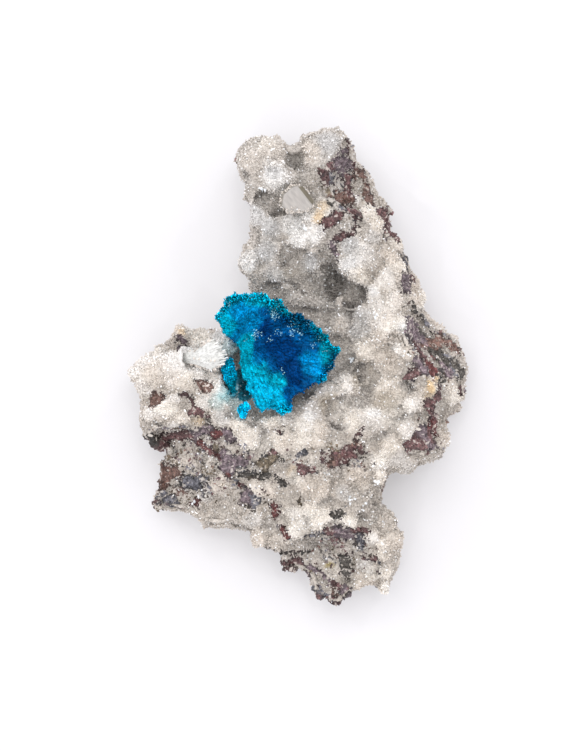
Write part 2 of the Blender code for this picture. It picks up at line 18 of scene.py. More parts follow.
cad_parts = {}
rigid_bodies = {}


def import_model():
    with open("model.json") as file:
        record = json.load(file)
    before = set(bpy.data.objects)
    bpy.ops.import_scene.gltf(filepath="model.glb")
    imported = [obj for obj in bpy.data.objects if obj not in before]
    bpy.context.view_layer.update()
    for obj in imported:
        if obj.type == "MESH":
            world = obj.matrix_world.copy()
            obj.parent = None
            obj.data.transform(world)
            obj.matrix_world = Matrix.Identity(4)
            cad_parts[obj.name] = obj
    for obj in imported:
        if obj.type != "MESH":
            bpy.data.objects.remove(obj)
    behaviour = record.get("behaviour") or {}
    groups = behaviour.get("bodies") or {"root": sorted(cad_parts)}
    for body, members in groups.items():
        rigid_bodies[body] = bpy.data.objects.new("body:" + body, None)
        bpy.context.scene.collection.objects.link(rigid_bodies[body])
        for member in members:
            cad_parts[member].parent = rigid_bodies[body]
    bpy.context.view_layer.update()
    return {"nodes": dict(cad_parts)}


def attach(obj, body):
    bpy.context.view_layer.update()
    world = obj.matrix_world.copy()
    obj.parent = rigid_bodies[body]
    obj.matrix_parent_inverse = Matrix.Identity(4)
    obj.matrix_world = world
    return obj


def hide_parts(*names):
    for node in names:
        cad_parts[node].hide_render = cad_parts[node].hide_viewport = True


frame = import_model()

MM = 0.001  # a millimetre in metres, the unit of the scene
SAME_PLACE = 0.001  # mm, points of a solid closer than this become one
print("solids:", sorted(frame["nodes"]))

# %% [markdown]
# ## Small helpers
#
# Three things come up on every piece: a colour written the way a paint chart writes it, a shader or geometry
# node with its settings, and a clean copy of one of the solids to work on. Each gets one short function. More
# of them read a piece's points, move them and store numbers on them.

# %% Colours, nodes and copies


def linear(hex_colour):
    """An sRGB hex value as the linear red, green, blue and alpha that shaders expect."""
    channels = [int(hex_colour[place:place + 2], 16) / 255 for place in (1, 3, 5)]
    return [c / 12.92 if c <= 0.04045 else ((c + 0.055) / 1.055) ** 2.4 for c in channels] + [1.0]


def add_node(tree, kind, sockets=None, **settings):
    """Adds a node, applies its settings, and gives each named or numbered socket a value or a link."""
    made = tree.nodes.new(kind)
    for setting, value in settings.items():
        setattr(made, setting, value)
    for socket, value in (sockets or {}).items():
        if isinstance(value, bpy.types.NodeSocket):
            tree.links.new(value, made.inputs[socket])
        else:
            made.inputs[socket].default_value = value
    return made


def select_only(piece):
    """Operators act on all that is selected, so everything else is let go first."""
    bpy.ops.object.select_all(action="DESELECT")
    piece.select_set(True)
    bpy.context.view_layer.objects.active = piece


def pick_points(piece, wanted):
    """Enters edit mode with just those points selected whose place passes the test."""
    select_only(piece)
    bpy.ops.object.mode_set(mode="EDIT")
    bpy.ops.mesh.select_mode(type="VERT")
    bpy.ops.mesh.select_all(action="DESELECT")
    bpy.ops.object.mode_set(mode="OBJECT")
    for vertex in piece.data.vertices:
        vertex.select = wanted(vertex.co)
    bpy.ops.object.mode_set(mode="EDIT")


def duplicate(piece, name):
    """A copy of the piece with a mesh of its own."""
    made = bpy.data.objects.new(name, piece.data.copy())
    bpy.context.collection.objects.link(made)
    return made


def copy_of(node, name):
    """A merged copy of a solid. The solid itself comes in as loose triangles and stays as it is."""
    piece = duplicate(frame["nodes"][node], name)
    select_only(piece)
    bpy.ops.object.mode_set(mode="EDIT")
    bpy.ops.mesh.select_all(action="SELECT")
    bpy.ops.mesh.remove_doubles(threshold=SAME_PLACE * MM)
    bpy.ops.object.mode_set(mode="OBJECT")
    piece.data.materials.clear()
    return piece


def apply_all(piece):
    """Applies every modifier from the top of the stack down."""
    select_only(piece)
    for modifier in list(piece.modifiers):
        bpy.ops.object.modifier_apply(modifier=modifier.name)


def even_skin(piece, voxel):
    """Remeshes the piece into even quads of this size in millimetres."""
    skin = piece.modifiers.new("even skin", "REMESH")
    skin.mode = "VOXEL"
    skin.voxel_size = voxel * MM
    apply_all(piece)


def points_of(piece):
    """The piece's points and their normals in millimetres, one row each."""
    count = len(piece.data.vertices)
    points, normals = np.empty(count * 3), np.empty(count * 3)
    piece.data.vertices.foreach_get("co", points)
    piece.data.vertices.foreach_get("normal", normals)
    return points.reshape(-1, 3) / MM, normals.reshape(-1, 3)


def move_points(piece, places):
    """Puts the piece's points at these places, in millimetres."""
    piece.data.vertices.foreach_set("co", (places * MM).astype(np.float32).ravel())
    piece.data.update()


def triangles_of(piece):
    return sum(len(face.vertices) - 2 for face in piece.data.polygons)


def write_attributes(piece, **stored):
    """Stores one number, or one colour, for each point of the piece under each of these names."""
    for name, values in stored.items():
        kind, key = ("FLOAT", "value") if values.ndim == 1 else ("FLOAT_COLOR", "color")
        attribute = piece.data.attributes.new(name, kind, "POINT")
        attribute.data.foreach_set(key, values.astype(np.float32).ravel())


def write_group(piece, name, weights):
    """A vertex group with these weights, rounded to hundredths so that it fills quickly."""
    group = piece.vertex_groups.new(name=name)
    steps = np.round(np.clip(weights, 0, 1) * 100).astype(int)
    for step in range(1, 101):
        members = np.nonzero(steps == step)[0].tolist()
        if members:
            group.add(members, step / 100, "REPLACE")


def smooth_step(low, high, value):
    """0 at the first value and before it, 1 at the second and beyond, and a soft change between them."""
    share = np.clip((value - low) / (high - low), 0, 1)
    return share * share * (3 - 2 * share)


def noise_at(points, size, shift=0.0):
    """Smooth noise from -1 to 1 whose lumps are about this many millimetres across."""
    return np.array([noise.noise(Vector(point) / size + Vector((shift, 0, 0))) for point in points])


# %% [markdown]
# ## The rock
#
# The breccia is one solid, rough all over. A copy of its solid is given an even skin of fine quads, because
# fine displacement needs points to move, and a decimated solid has too few. The skin is the ground under the
# druse, so the carving further down sinks it a little, which makes room for the grains.

# %% A fine skin for the rock
SKIN = 0.31  # mm between its points
SKIN_SHARE = 0.82  # of the faces are left when the flat underside is thinned out
UNDERSIDE = 0.2  # mm above the floor, the underside lies below this
DOWNWARDS = -0.9  # the upward part of a normal that points down
rock = copy_of("matrix", "breccia_rock")
even_skin(rock, SKIN)
points, normals = points_of(rock)
write_group(rock, "underside", ((points[:, 2] < UNDERSIDE) & (normals[:, 2] < DOWNWARDS)).astype(float))
thinning = rock.modifiers.new("thin out the underside", "DECIMATE")
thinning.ratio = SKIN_SHARE
thinning.vertex_group = "underside"
apply_all(rock)
rock.vertex_groups.clear()
print("rock:", len(rock.data.vertices), "points,", triangles_of(rock), "triangles")

# %% [markdown]
# ## The outline
#
# The carving further down takes a little off the sides, so the skin is first stretched by one to three
# hundredths. The solid is also a little simpler than the stone, so here and there the skin is drawn in or out
# sideways, from top to bottom and fading with the distance, as with proportional editing. Most of these pulls
# go one to three millimetres. The deepest, nearly six, makes the step on the right above the lower lobe.

# %% Draw the outline to the stone's
# x, y and radius of each place, and how far it goes in x and y
PULLS = [
    (18.6, -19.2, 6.0, -5.8, 0.0), (-22.5, -12.9, 2.2, 2.2, 0.2), (-10.8, -27.0, 4.0, 2.2, 0.9),
    (-5.5, -30.0, 3.5, 1.3, 0.5), (-1.2, -32.6, 3.0, 1.6, 0.4), (-20.0, -21.2, 2.5, -1.6, -0.4),
    (9.6, 28.5, 5.0, 1.1, 0.2), (6.8, 33.5, 2.6, 0.9, 0.3), (-8.2, 31.5, 4.0, -0.9, 0.0),
    (-9.6, 22.4, 3.2, 1.4, 0.0), (-10.5, 11.6, 2.6, 2.8, 0.0), (-23.9, -1.2, 3.0, -1.4, 0.0),
    (-20.0, 3.4, 2.2, -1.0, 0.3), (22.6, 3.0, 5.5, 1.2, 0.2), (12.6, -32.6, 2.4, 0.3, -0.8),
    (-3.6, 34.0, 2.5, 0.0, 0.5),
]
STRETCH = (1.025, 1.012)  # across and along
points, _ = points_of(rock)
points[:, :2] *= STRETCH
for pull_x, pull_y, radius, shift_x, shift_y in PULLS:
    pull = smooth_step(radius, 0, np.hypot(points[:, 0] - pull_x, points[:, 1] - pull_y))
    points[:, :2] += pull[:, None] * (shift_x, shift_y)
move_points(rock, points)
points, _ = points_of(rock)
print("the rock is now", np.ptp(points, axis=0).round(1), "mm")

# %% [markdown]
# ## Where the rock shows
#
# The crust is broken or missing in many places, and there the basalt shows: plum, russet, purple-grey, slate
# or nearly black. Each bare place is a short stroke from one end to the other with a half width, all in
# millimetres seen from above. Between them lie larger areas where crust and rock are mixed like salt and
# pepper, and thin veins of pale zeolite cross the largest slab.

# %% Bare patches, mixed areas and veins
ROCK_TONES = {
    "plum": "#785958", "russet": "#7F6359", "oxblood": "#693B39", "purple": "#827378",
    "slate": "#7B7A81", "soot": "#56514B", "olive": "#7D705D",
}
# x and y of both ends, half width, and the tone of the rock
PATCHES = [
    (7.1, 30.5, 6.5, 29.7, 0.97, "purple"), (7.5, 30.9, 7.7, 30.8, 0.6, "purple"),
    (5.1, 29.0, 5.9, 29.3, 0.6, "plum"), (3.3, 28.7, 3.5, 27.3, 0.82, "plum"),
    (5.3, 28.1, 5.3, 27.6, 0.53, "slate"), (7.7, 28.5, 7.8, 25.8, 0.53, "plum"),
    (6.9, 25.5, 7.5, 25.4, 0.9, "russet"), (7.7, 23.3, 7.7, 22.2, 0.57, "plum"),
    (5.3, 22.5, 5.4, 21.8, 0.53, "plum"), (4.1, 21.3, 4.4, 20.7, 0.78, "plum"),
    (8.4, 21.3, 9.0, 22.5, 0.3, "plum"), (7.2, 19.1, 7.8, 20.7, 0.3, "plum"),
    (5.7, 18.6, 6.3, 18.9, 0.45, "plum"), (5.0, 18.0, 5.1, 15.6, 0.42, "purple"),
    (9.5, 29.4, 11.0, 25.2, 0.82, "russet"), (7.7, 33.2, 8.9, 30.0, 0.26, "plum"),
    (12.8, 23.7, 14.3, 21.0, 0.82, "plum"), (14.3, 21.0, 15.3, 19.2, 0.45, "plum"),
    (16.5, 17.0, 17.0, 15.2, 0.27, "slate"), (16.5, 13.5, 16.5, 11.9, 0.6, "purple"),
    (17.3, 14.0, 17.9, 12.8, 0.24, "plum"), (16.8, 9.5, 19.4, 6.2, 0.42, "soot"),
    (19.2, 6.9, 19.8, 6.3, 0.48, "slate"), (17.0, 6.0, 18.8, 4.5, 0.97, "purple"),
    (18.8, 5.4, 19.7, 5.1, 0.75, "soot"), (19.4, 4.2, 20.1, 3.8, 1.05, "russet"),
    (21.3, 4.4, 22.1, 3.8, 0.9, "russet"), (20.9, 3.0, 23.0, 0.6, 1.2, "soot"),
    (23.0, 3.9, 24.2, 2.4, 0.75, "russet"), (22.4, 2.1, 24.2, -0.9, 0.9, "slate"),
    (23.6, 0.6, 24.8, -1.2, 0.82, "soot"), (22.1, 0.6, 23.6, -0.9, 0.75, "purple"),
    (17.9, 3.8, 19.4, 1.4, 0.33, "plum"), (20.0, 1.2, 20.4, -0.4, 0.75, "oxblood"),
    (17.9, 0.5, 18.5, 0.0, 0.9, "purple"), (16.2, -1.8, 17.3, -1.0, 0.54, "plum"),
    (21.0, -0.9, 21.9, -2.2, 0.36, "soot"), (21.3, -3.0, 21.5, -4.6, 0.36, "plum"),
    (21.5, -4.6, 20.4, -6.0, 0.39, "plum"), (19.5, -6.1, 20.1, -6.6, 0.75, "plum"),
    (24.9, -3.3, 24.8, -4.5, 0.27, "plum"), (20.9, -7.5, 21.6, -7.8, 0.54, "plum"),
    (20.6, -8.7, 21.5, -9.1, 0.82, "oxblood"), (17.0, -12.0, 19.7, -10.8, 1.2, "plum"),
    (18.3, -10.0, 19.8, -11.8, 1.05, "purple"), (-18.4, 4.1, -17.7, 3.8, 0.51, "purple"),
    (-14.5, -2.8, -13.6, -3.1, 0.75, "russet"), (-21.7, -5.0, -21.1, -4.9, 0.86, "russet"),
    (-17.1, -4.2, -16.1, -5.9, 0.2, "plum"), (-15.8, -6.9, -15.2, -7.1, 0.7, "plum"),
    (-13.9, -7.5, -13.5, -7.6, 0.27, "plum"), (-22.6, -11.1, -21.3, -12.0, 0.4, "soot"),
    (-21.3, -12.0, -19.0, -11.1, 0.37, "plum"), (-19.0, -11.1, -16.3, -10.9, 0.47, "plum"),
    (-16.3, -10.8, -13.5, -9.3, 0.56, "purple"), (-13.0, -10.5, -12.1, -10.3, 0.66, "oxblood"),
    (-11.5, -9.9, -10.2, -11.1, 0.57, "purple"), (-15.6, -11.7, -12.0, -13.8, 0.51, "oxblood"),
    (-14.2, -12.9, -13.6, -13.5, 0.45, "plum"), (-21.0, -15.7, -20.7, -17.1, 0.99, "russet"),
    (-19.3, -16.0, -18.7, -16.2, 0.66, "russet"), (-17.2, -17.7, -16.2, -18.1, 0.9, "slate"),
    (-14.8, -17.4, -14.4, -17.2, 0.51, "slate"), (-19.6, -19.8, -19.0, -20.1, 0.82, "slate"),
    (-21.1, -20.7, -20.7, -20.7, 0.45, "plum"), (-16.3, -20.4, -15.4, -20.7, 0.45, "oxblood"),
    (-8.8, -16.6, -6.9, -16.8, 0.36, "soot"), (-6.9, -16.8, -4.6, -16.5, 0.39, "soot"),
    (-5.5, -15.1, -4.0, -14.1, 0.75, "olive"), (-3.4, -13.5, -2.7, -14.7, 0.36, "soot"),
    (-3.3, -17.1, -2.1, -18.3, 0.28, "soot"), (-4.2, -12.9, -3.6, -13.2, 0.51, "plum"),
    (-11.1, -13.5, -10.0, -15.6, 0.75, "purple"), (-9.4, -14.1, -8.4, -15.0, 0.6, "purple"),
    (-12.1, -14.5, -11.2, -15.6, 0.6, "purple"), (-10.8, -16.5, -10.2, -16.8, 0.51, "oxblood"),
    (-3.0, -9.7, -2.7, -9.9, 0.33, "oxblood"), (-8.2, -19.9, -7.8, -20.2, 1.12, "purple"),
    (-7.3, -20.1, -6.9, -20.4, 0.97, "slate"), (-9.0, -18.0, -8.8, -18.1, 0.3, "oxblood"),
    (-4.0, -21.1, -3.6, -22.5, 0.6, "oxblood"), (-2.7, -24.4, -1.9, -25.8, 0.56, "oxblood"),
    (-2.5, -30.4, -0.1, -30.1, 0.58, "plum"), (-5.4, -28.0, -2.7, -28.6, 0.2, "soot"),
    (-1.8, -28.9, 1.5, -28.6, 0.21, "soot"), (0.3, -15.6, 1.4, -15.6, 0.9, "plum"),
    (-0.3, -13.2, 1.1, -12.9, 0.36, "slate"), (3.0, -13.5, 3.6, -13.3, 0.43, "plum"),
    (4.4, -14.5, 6.5, -13.3, 0.75, "russet"), (6.2, -13.5, 8.0, -12.3, 1.12, "plum"),
    (7.7, -12.1, 9.3, -11.5, 0.75, "russet"), (5.4, -15.0, 6.9, -14.4, 0.45, "plum"),
    (8.7, -10.2, 9.6, -9.4, 0.3, "plum"), (-0.6, -19.9, -0.4, -20.2, 0.39, "olive"),
    (5.3, -21.9, 6.2, -21.7, 0.54, "soot"), (1.4, -25.9, 3.8, -25.3, 0.36, "slate"),
    (3.8, -25.3, 6.0, -25.3, 0.48, "plum"), (5.9, -25.3, 7.7, -25.9, 0.75, "purple"),
    (8.0, -25.0, 9.6, -24.9, 0.48, "plum"), (9.0, -26.1, 9.2, -27.4, 0.39, "slate"),
    (6.6, -29.4, 6.9, -31.0, 0.75, "soot"), (8.0, -28.6, 9.5, -28.8, 0.36, "plum"),
    (10.5, -28.8, 11.0, -28.9, 0.36, "plum"), (11.1, -30.4, 11.4, -31.5, 0.22, "plum"),
    (1.5, -30.7, 4.1, -32.5, 0.57, "purple"), (2.7, -33.3, 3.8, -34.2, 0.6, "slate"),
    (4.7, -32.5, 6.9, -33.6, 0.45, "plum"), (4.1, -34.9, 5.6, -35.5, 0.54, "plum"),
    (6.5, -33.3, 7.1, -34.5, 0.51, "purple"),
]

# x, y, half width, half height, and how much of it is rock
SPECKLE = [
    (6.0, 25.7, 2.1, 3.9, 0.45), (7.2, 22.7, 1.8, 2.1, 0.35), (10.1, 27.2, 1.2, 3.3, 0.5),
    (13.8, 21.9, 1.1, 2.7, 0.5), (20.6, 2.4, 3.9, 3.9, 0.6), (22.1, -0.9, 2.1, 2.1, 0.4),
    (19.4, -11.4, 2.7, 1.5, 0.4), (-14.8, -15.6, 6.8, 4.2, 0.50), (-10.0, -14.4, 3.0, 3.0, 0.55),
    (-7.3, -19.6, 2.7, 1.8, 0.35), (-19.0, -20.1, 2.7, 1.5, 0.45), (6.9, -13.5, 3.9, 2.1, 0.45),
    (6.9, -27.6, 3.9, 3.3, 0.45), (4.1, -33.9, 2.4, 1.8, 0.6), (0.9, -30.6, 2.7, 1.2, 0.3),
    (-0.6, -13.3, 2.4, 1.5, 0.25), (-17.8, -10.6, 4.2, 1.5, 0.45),
]

# x and y of both ends, and half width
VEINS = [
    (18.1, 7.2, 20.2, 5.2, 0.2), (18.9, 3.4, 19.5, 2.0, 0.17), (19.5, 2.0, 21.3, 0.3, 0.17),
    (22.1, 3.4, 23.6, 2.1, 0.38), (22.3, -6.4, 21.9, -10.1, 0.4), (9.4, 28.4, 9.9, 25.2, 0.35),
    (-14.9, -13.6, -12.3, -14.6, 0.2), (2.4, -31.6, 4.4, -33.6, 0.25), (7.9, -27.0, 9.1, -30.0, 0.4),
]
print(len(PATCHES), "bare patches,", len(SPECKLE), "mixed areas,", len(VEINS), "veins")

# %% Weigh every point of the skin
SHOULDER = (5.0, 8.0)  # mm, the walls end and the upper side begins between these heights
x, y, z = points.T
top = smooth_step(*SHOULDER, z)
wobble = noise_at(points, 0.9) * 0.3 + noise_at(points, 2.2, 7.0) * 0.15  # frays every edge below
broad = noise_at(points, 4.5, 20.0)


def along_stroke(places, x1, y1, x2, y2):
    """Distance of every place, seen from above, to the stroke between two ends."""
    along = np.array([x2 - x1, y2 - y1])
    offset = places[:, :2] - (x1, y1)
    share = np.clip(offset @ along / max(along @ along, 1e-6), 0, 1)
    return np.linalg.norm(offset - share[:, None] * along, axis=1)


def ribbons(strokes):
    """1 along soft strokes. Each has both ends, the distances where it is 0 and 1, and its fraying."""
    return np.max([
        smooth_step(none, full, along_stroke(points, x1, y1, x2, y2) + wobble * fraying)
        for x1, y1, x2, y2, none, full, fraying in strokes
    ], axis=0)


STRIKE = math.radians(-42)  # the rock splits along this direction, down to the right
SLENDER = 2.2  # a broken piece is this many times as long as it is wide
cosine, sine = math.cos(STRIKE), math.sin(STRIKE)
turn = np.array([[cosine, sine, 0], [-sine, cosine, 0], [0, 0, 1]])
stretch = np.array([SLENDER, 1.0, 1.0])
split = points @ turn.T / stretch  # the same points, turned to the strike and shortened along it


def angular(cell, share):
    """Draws the points towards the middle of their long cell, so round shapes turn angular."""
    middles = np.array([noise.voronoi(Vector(place) / cell)[1][0] for place in split]) * cell
    return points + ((middles - split) * stretch @ turn) * share


def within(centre_x, centre_y, half_x, half_y):
    """0 at the middle of an upright oval, 1 on its line and more outside."""
    return ((x - centre_x) / half_x) ** 2 + ((y - centre_y) / half_y) ** 2


FRAGMENT = 0.75  # mm across a broken piece of rock
WIDE = 1.2  # mm, strokes of this half width break up into fragments, and the narrower ones less
OUTSIDE = -9.0  # mm, stands for a point outside every bare place
EDGE = 0.12  # mm, the rock fades in over this on either side of its edge
broken = angular(FRAGMENT, share=0.75)
rock_tones = {name: linear(colour) for name, colour in ROCK_TONES.items()}
inside = np.full(len(points), OUTSIDE)
tone = np.zeros((len(points), 4))
for x1, y1, x2, y2, half_width, name in PATCHES:
    places = points + (broken - points) * smooth_step(WIDE * 0.5, WIDE, half_width)
    reach = half_width + 0.08 + 0.2 * smooth_step(0.3, 0.6, half_width)  # the grains beside it lean over it
    depth = np.where(top > 0.3, reach - along_stroke(places, x1, y1, x2, y2), OUTSIDE)
    nearer = depth > inside
    inside = np.maximum(inside, depth)
    tone[nearer] = rock_tones[name]

mixed = np.zeros(len(points))
for centre_x, centre_y, half_x, half_y, strength in SPECKLE:
    fading = np.clip(1.7 - within(centre_x, centre_y, half_x, half_y), 0, 1)
    mixed = np.maximum(mixed, strength * fading * top)
mixed = np.maximum(mixed, (1 - top) * np.clip(0.6 + 0.5 * broad, 0.1, 0.8))
salt = np.random.default_rng(8).uniform(-0.8, 0.8, len(points))
grainy = noise_at(split, 0.5, 40.0) * 0.7 + noise_at(split, 1.2, 60.0) * 0.5 + salt * 0.5
mixed = np.clip(mixed * (0.82 + 1.0 * grainy), 0, 0.8)
FILLERS = ["plum", "purple", "slate", "soot", "russet", "olive"]  # tones of the rock outside the patches
choice = (noise_at(broken, 1.6, 80.0) * 1.4 + 0.5) * len(FILLERS)
choice = np.clip(choice, 0, len(FILLERS) - 1).astype(int)
unclaimed = inside + wobble < 0
tone[unclaimed] = np.array([rock_tones[name] for name in FILLERS])[choice[unclaimed]]

VEIN_EDGE = 0.25  # mm, the rock fades in over this beside a vein
clear = np.ones(len(points))
for x1, y1, x2, y2, half_width in VEINS:
    beside = along_stroke(points, x1, y1, x2, y2) - half_width + wobble * 0.3
    clear = np.minimum(clear, smooth_step(0, VEIN_EDGE, beside))
shown = inside + wobble * 0.35
bare = np.maximum(smooth_step(-EDGE, EDGE, shown), mixed) * clear
SEAM = 0.26  # mm, half width of the dark line where crust and rock meet
seam = np.exp(-((shown / SEAM) ** 2))
slab = smooth_step(16, 19, x) * smooth_step(-6, -1, y)  # the slab on the right is paler than the rest
tone[:, :3] *= ((1 - 0.75 * seam) * (1 + 0.35 * slab))[:, None]
print("bare rock covers", round(100 * bare[top > 0.5].mean()), "% of the upper side")

# %% [markdown]
# ## Lumps and hollows of the crust
#
# Druse swells into rounded lumps like a cauliflower, two to five millimetres across, brightest on top, with
# brownish hollows between them where less light gets in and the crust is thin. Both are painted into the
# crust's colour: partly its own colour, and partly a painted highlight on the tops and painted shade in the
# hollows. On the upper side each lump is placed with the tone of its top, and so is each hollow with its
# depth, and each stain of the crust. On the walls a Voronoi pattern gives lumps of the same size. Smaller
# ones sit on all of them.
#
# The crust is white to colourless, and its colour is mostly what shows through it: snow white where it is
# thick, cream and beige over iron-stained rock, cool dove grey where it is glassy.

# %% Tones, lumps and hollows
# The darkest brown of these tones is painted shade for the deepest hollows.
CRUST_TONES = {
    "snow": "#FBF9F6", "cream": "#F5EFE6", "beige": "#E2D9CF", "dove": "#D2D1D0", "ash": "#C0BAB3",
    "deep_shade": "#857F79", "fawn": "#D8D0C7", "sand": "#DDCFBE", "ochre": "#E9CFA8", "olive": "#9C8D74",
    "yellow": "#B9A020", "aqua": "#ACDCE0",
    "dusk": "#0A92AA",  # painted teal light in the shaded gap beside the rosette, for what comes through the blue
}
# x, y and radius of each lump, and the tone of its top
LUMPS = [
    (-4.0, 31.6, 2.6, "fawn"), (-3.4, 27.9, 2.9, "snow"), (-7.4, 30.2, 2.1, "fawn"), (4.2, 32.9, 2.6, "dove"),
    (1.4, 31.6, 1.6, "beige"), (-6.4, 22.2, 1.8, "dove"), (-4.2, 20.5, 1.9, "dove"), (-7.4, 26.4, 1.4, "ash"),
    (0.8, 22.6, 1.6, "snow"), (-1.2, 20.9, 1.7, "snow"), (2.1, 19.6, 2.0, "snow"), (-0.3, 18.5, 1.7, "snow"),
    (-7.6, 15.4, 2.0, "snow"), (-4.9, 16.9, 1.8, "dove"), (-3.6, 13.6, 2.0, "dove"), (-0.5, 13.9, 1.7, "ash"),
    (-6.6, 12.2, 1.4, "ash"), (1.6, 15.0, 1.5, "dove"), (9.4, 16.2, 2.2, "snow"), (6.9, 15.0, 1.8, "snow"),
    (8.6, 13.5, 1.8, "cream"), (7.2, 17.8, 1.4, "dove"), (10.7, 11.1, 1.5, "snow"),
    (13.3, 16.2, 1.7, "beige"), (12.8, 13.0, 1.8, "snow"), (11.0, 19.0, 1.7, "dove"),
    (12.1, 21.3, 1.8, "cream"), (10.8, 23.6, 1.6, "cream"), (8.8, 25.2, 0.8, "snow"),
    (15.0, 18.9, 1.5, "cream"), (15.0, 14.4, 1.5, "cream"), (17.6, 12.8, 1.3, "beige"),
    (18.3, 10.4, 1.5, "beige"), (11.4, 9.0, 1.7, "snow"), (13.8, 9.9, 1.6, "snow"), (12.5, 6.4, 2.4, "snow"),
    (15.4, 6.6, 1.2, "snow"), (9.1, 7.6, 1.7, "dove"), (8.7, 5.1, 1.7, "dove"), (5.6, 5.8, 1.5, "beige"),
    (1.0, 10.2, 1.9, "ash"), (3.0, 9.6, 1.2, "ash"), (-1.6, 10.4, 1.4, "ash"), (9.5, 2.5, 2.2, "cream"),
    (11.6, 4.0, 1.6, "beige"), (14.3, 2.4, 1.3, "snow"), (16.2, 1.8, 1.6, "beige"), (12.8, 0.4, 1.7, "beige"),
    (7.1, -2.5, 2.5, "snow"), (4.0, -3.6, 1.9, "dove"), (13.0, -3.6, 2.1, "cream"), (10.6, -7.5, 2.7, "snow"),
    (16.5, -5.6, 1.9, "snow"), (15.9, -9.4, 1.6, "snow"), (13.4, -12.0, 1.6, "cream"),
    (2.0, -6.6, 2.1, "dove"), (0.9, -8.6, 1.8, "snow"), (-1.9, -7.6, 1.7, "dove"), (3.3, -9.4, 1.4, "beige"),
    (7.9, -8.8, 1.3, "cream"), (24.0, -4.6, 1.5, "cream"), (22.9, -2.6, 1.1, "beige"),
    (22.4, -11.0, 1.4, "beige"), (19.9, -3.0, 1.1, "cream"), (-17.9, 5.2, 1.6, "beige"),
    (-14.6, 4.8, 1.8, "cream"), (-11.8, 4.7, 1.5, "dove"), (-10.3, 2.8, 1.4, "aqua"),
    (-20.8, 2.4, 1.3, "cream"), (-22.9, 0.7, 1.9, "snow"), (-19.6, 1.2, 1.8, "snow"),
    (-22.0, -1.4, 2.0, "cream"), (-19.2, -1.3, 1.8, "snow"), (-24.6, -0.8, 1.5, "snow"),
    (-23.4, -3.4, 1.5, "snow"), (-14.6, -1.0, 1.5, "snow"), (-12.4, -2.4, 1.8, "snow"),
    (-11.9, -4.4, 1.8, "snow"), (-10.3, -3.2, 1.2, "aqua"), (-14.3, -5.4, 1.5, "snow"),
    (-17.2, -1.8, 1.7, "cream"), (-20.2, -6.3, 1.8, "snow"), (-22.4, -7.0, 1.6, "snow"),
    (-18.4, -4.8, 1.3, "snow"), (-17.6, -8.0, 1.3, "cream"), (-18.8, -9.4, 1.3, "dove"),
    (-11.4, -7.6, 1.7, "dove"), (-9.2, -8.9, 1.7, "cream"), (-7.7, -11.0, 1.8, "cream"),
    (-4.4, -8.2, 1.5, "cream"), (-2.4, -11.3, 1.7, "beige"), (0.4, -11.3, 1.5, "cream"),
    (2.7, -11.0, 1.4, "beige"), (11.9, -14.2, 1.8, "snow"), (14.9, -13.9, 1.6, "dove"),
    (16.2, -15.5, 1.4, "dove"), (12.0, -16.7, 1.4, "cream"), (8.6, -16.3, 1.5, "beige"),
    (3.2, -18.5, 1.8, "beige"), (0.7, -18.0, 1.4, "beige"), (6.7, -18.9, 1.4, "dove"),
    (-6.4, -18.8, 1.4, "cream"), (-4.4, -19.0, 1.3, "beige"), (1.5, -21.3, 1.6, "cream"),
    (-1.0, -22.0, 1.4, "dove"), (3.8, -22.3, 1.4, "cream"), (-0.4, -24.7, 1.7, "snow"),
    (2.5, -23.8, 1.4, "cream"), (7.8, -23.2, 1.5, "cream"), (10.7, -25.8, 1.4, "snow"),
    (3.2, 22.8, 1.8, "cream"), (20.6, -1.2, 1.0, "cream"), (12.6, -27.4, 1.7, "cream"),
    (14.6, -26.3, 1.7, "beige"), (13.3, -22.6, 1.8, "ash"), (13.0, -30.9, 1.5, "cream"),
    (12.9, -33.7, 1.2, "cream"), (9.3, -32.7, 1.4, "beige"), (-7.0, -23.0, 1.6, "dove"),
    (-6.4, -26.4, 1.4, "beige"), (-3.2, -26.8, 1.4, "ash"), (4.6, -34.3, 0.9, "dove"),
    (-14.0, -19.6, 1.5, "dove"), (3.4, 13.0, 1.2, "ash"), (6.1, 10.0, 1.1, "beige"),
    (-18.2, -14.6, 1.6, "beige"), (-12.0, -18.4, 1.5, "beige"), (9.6, -29.9, 1.3, "dove"),
]
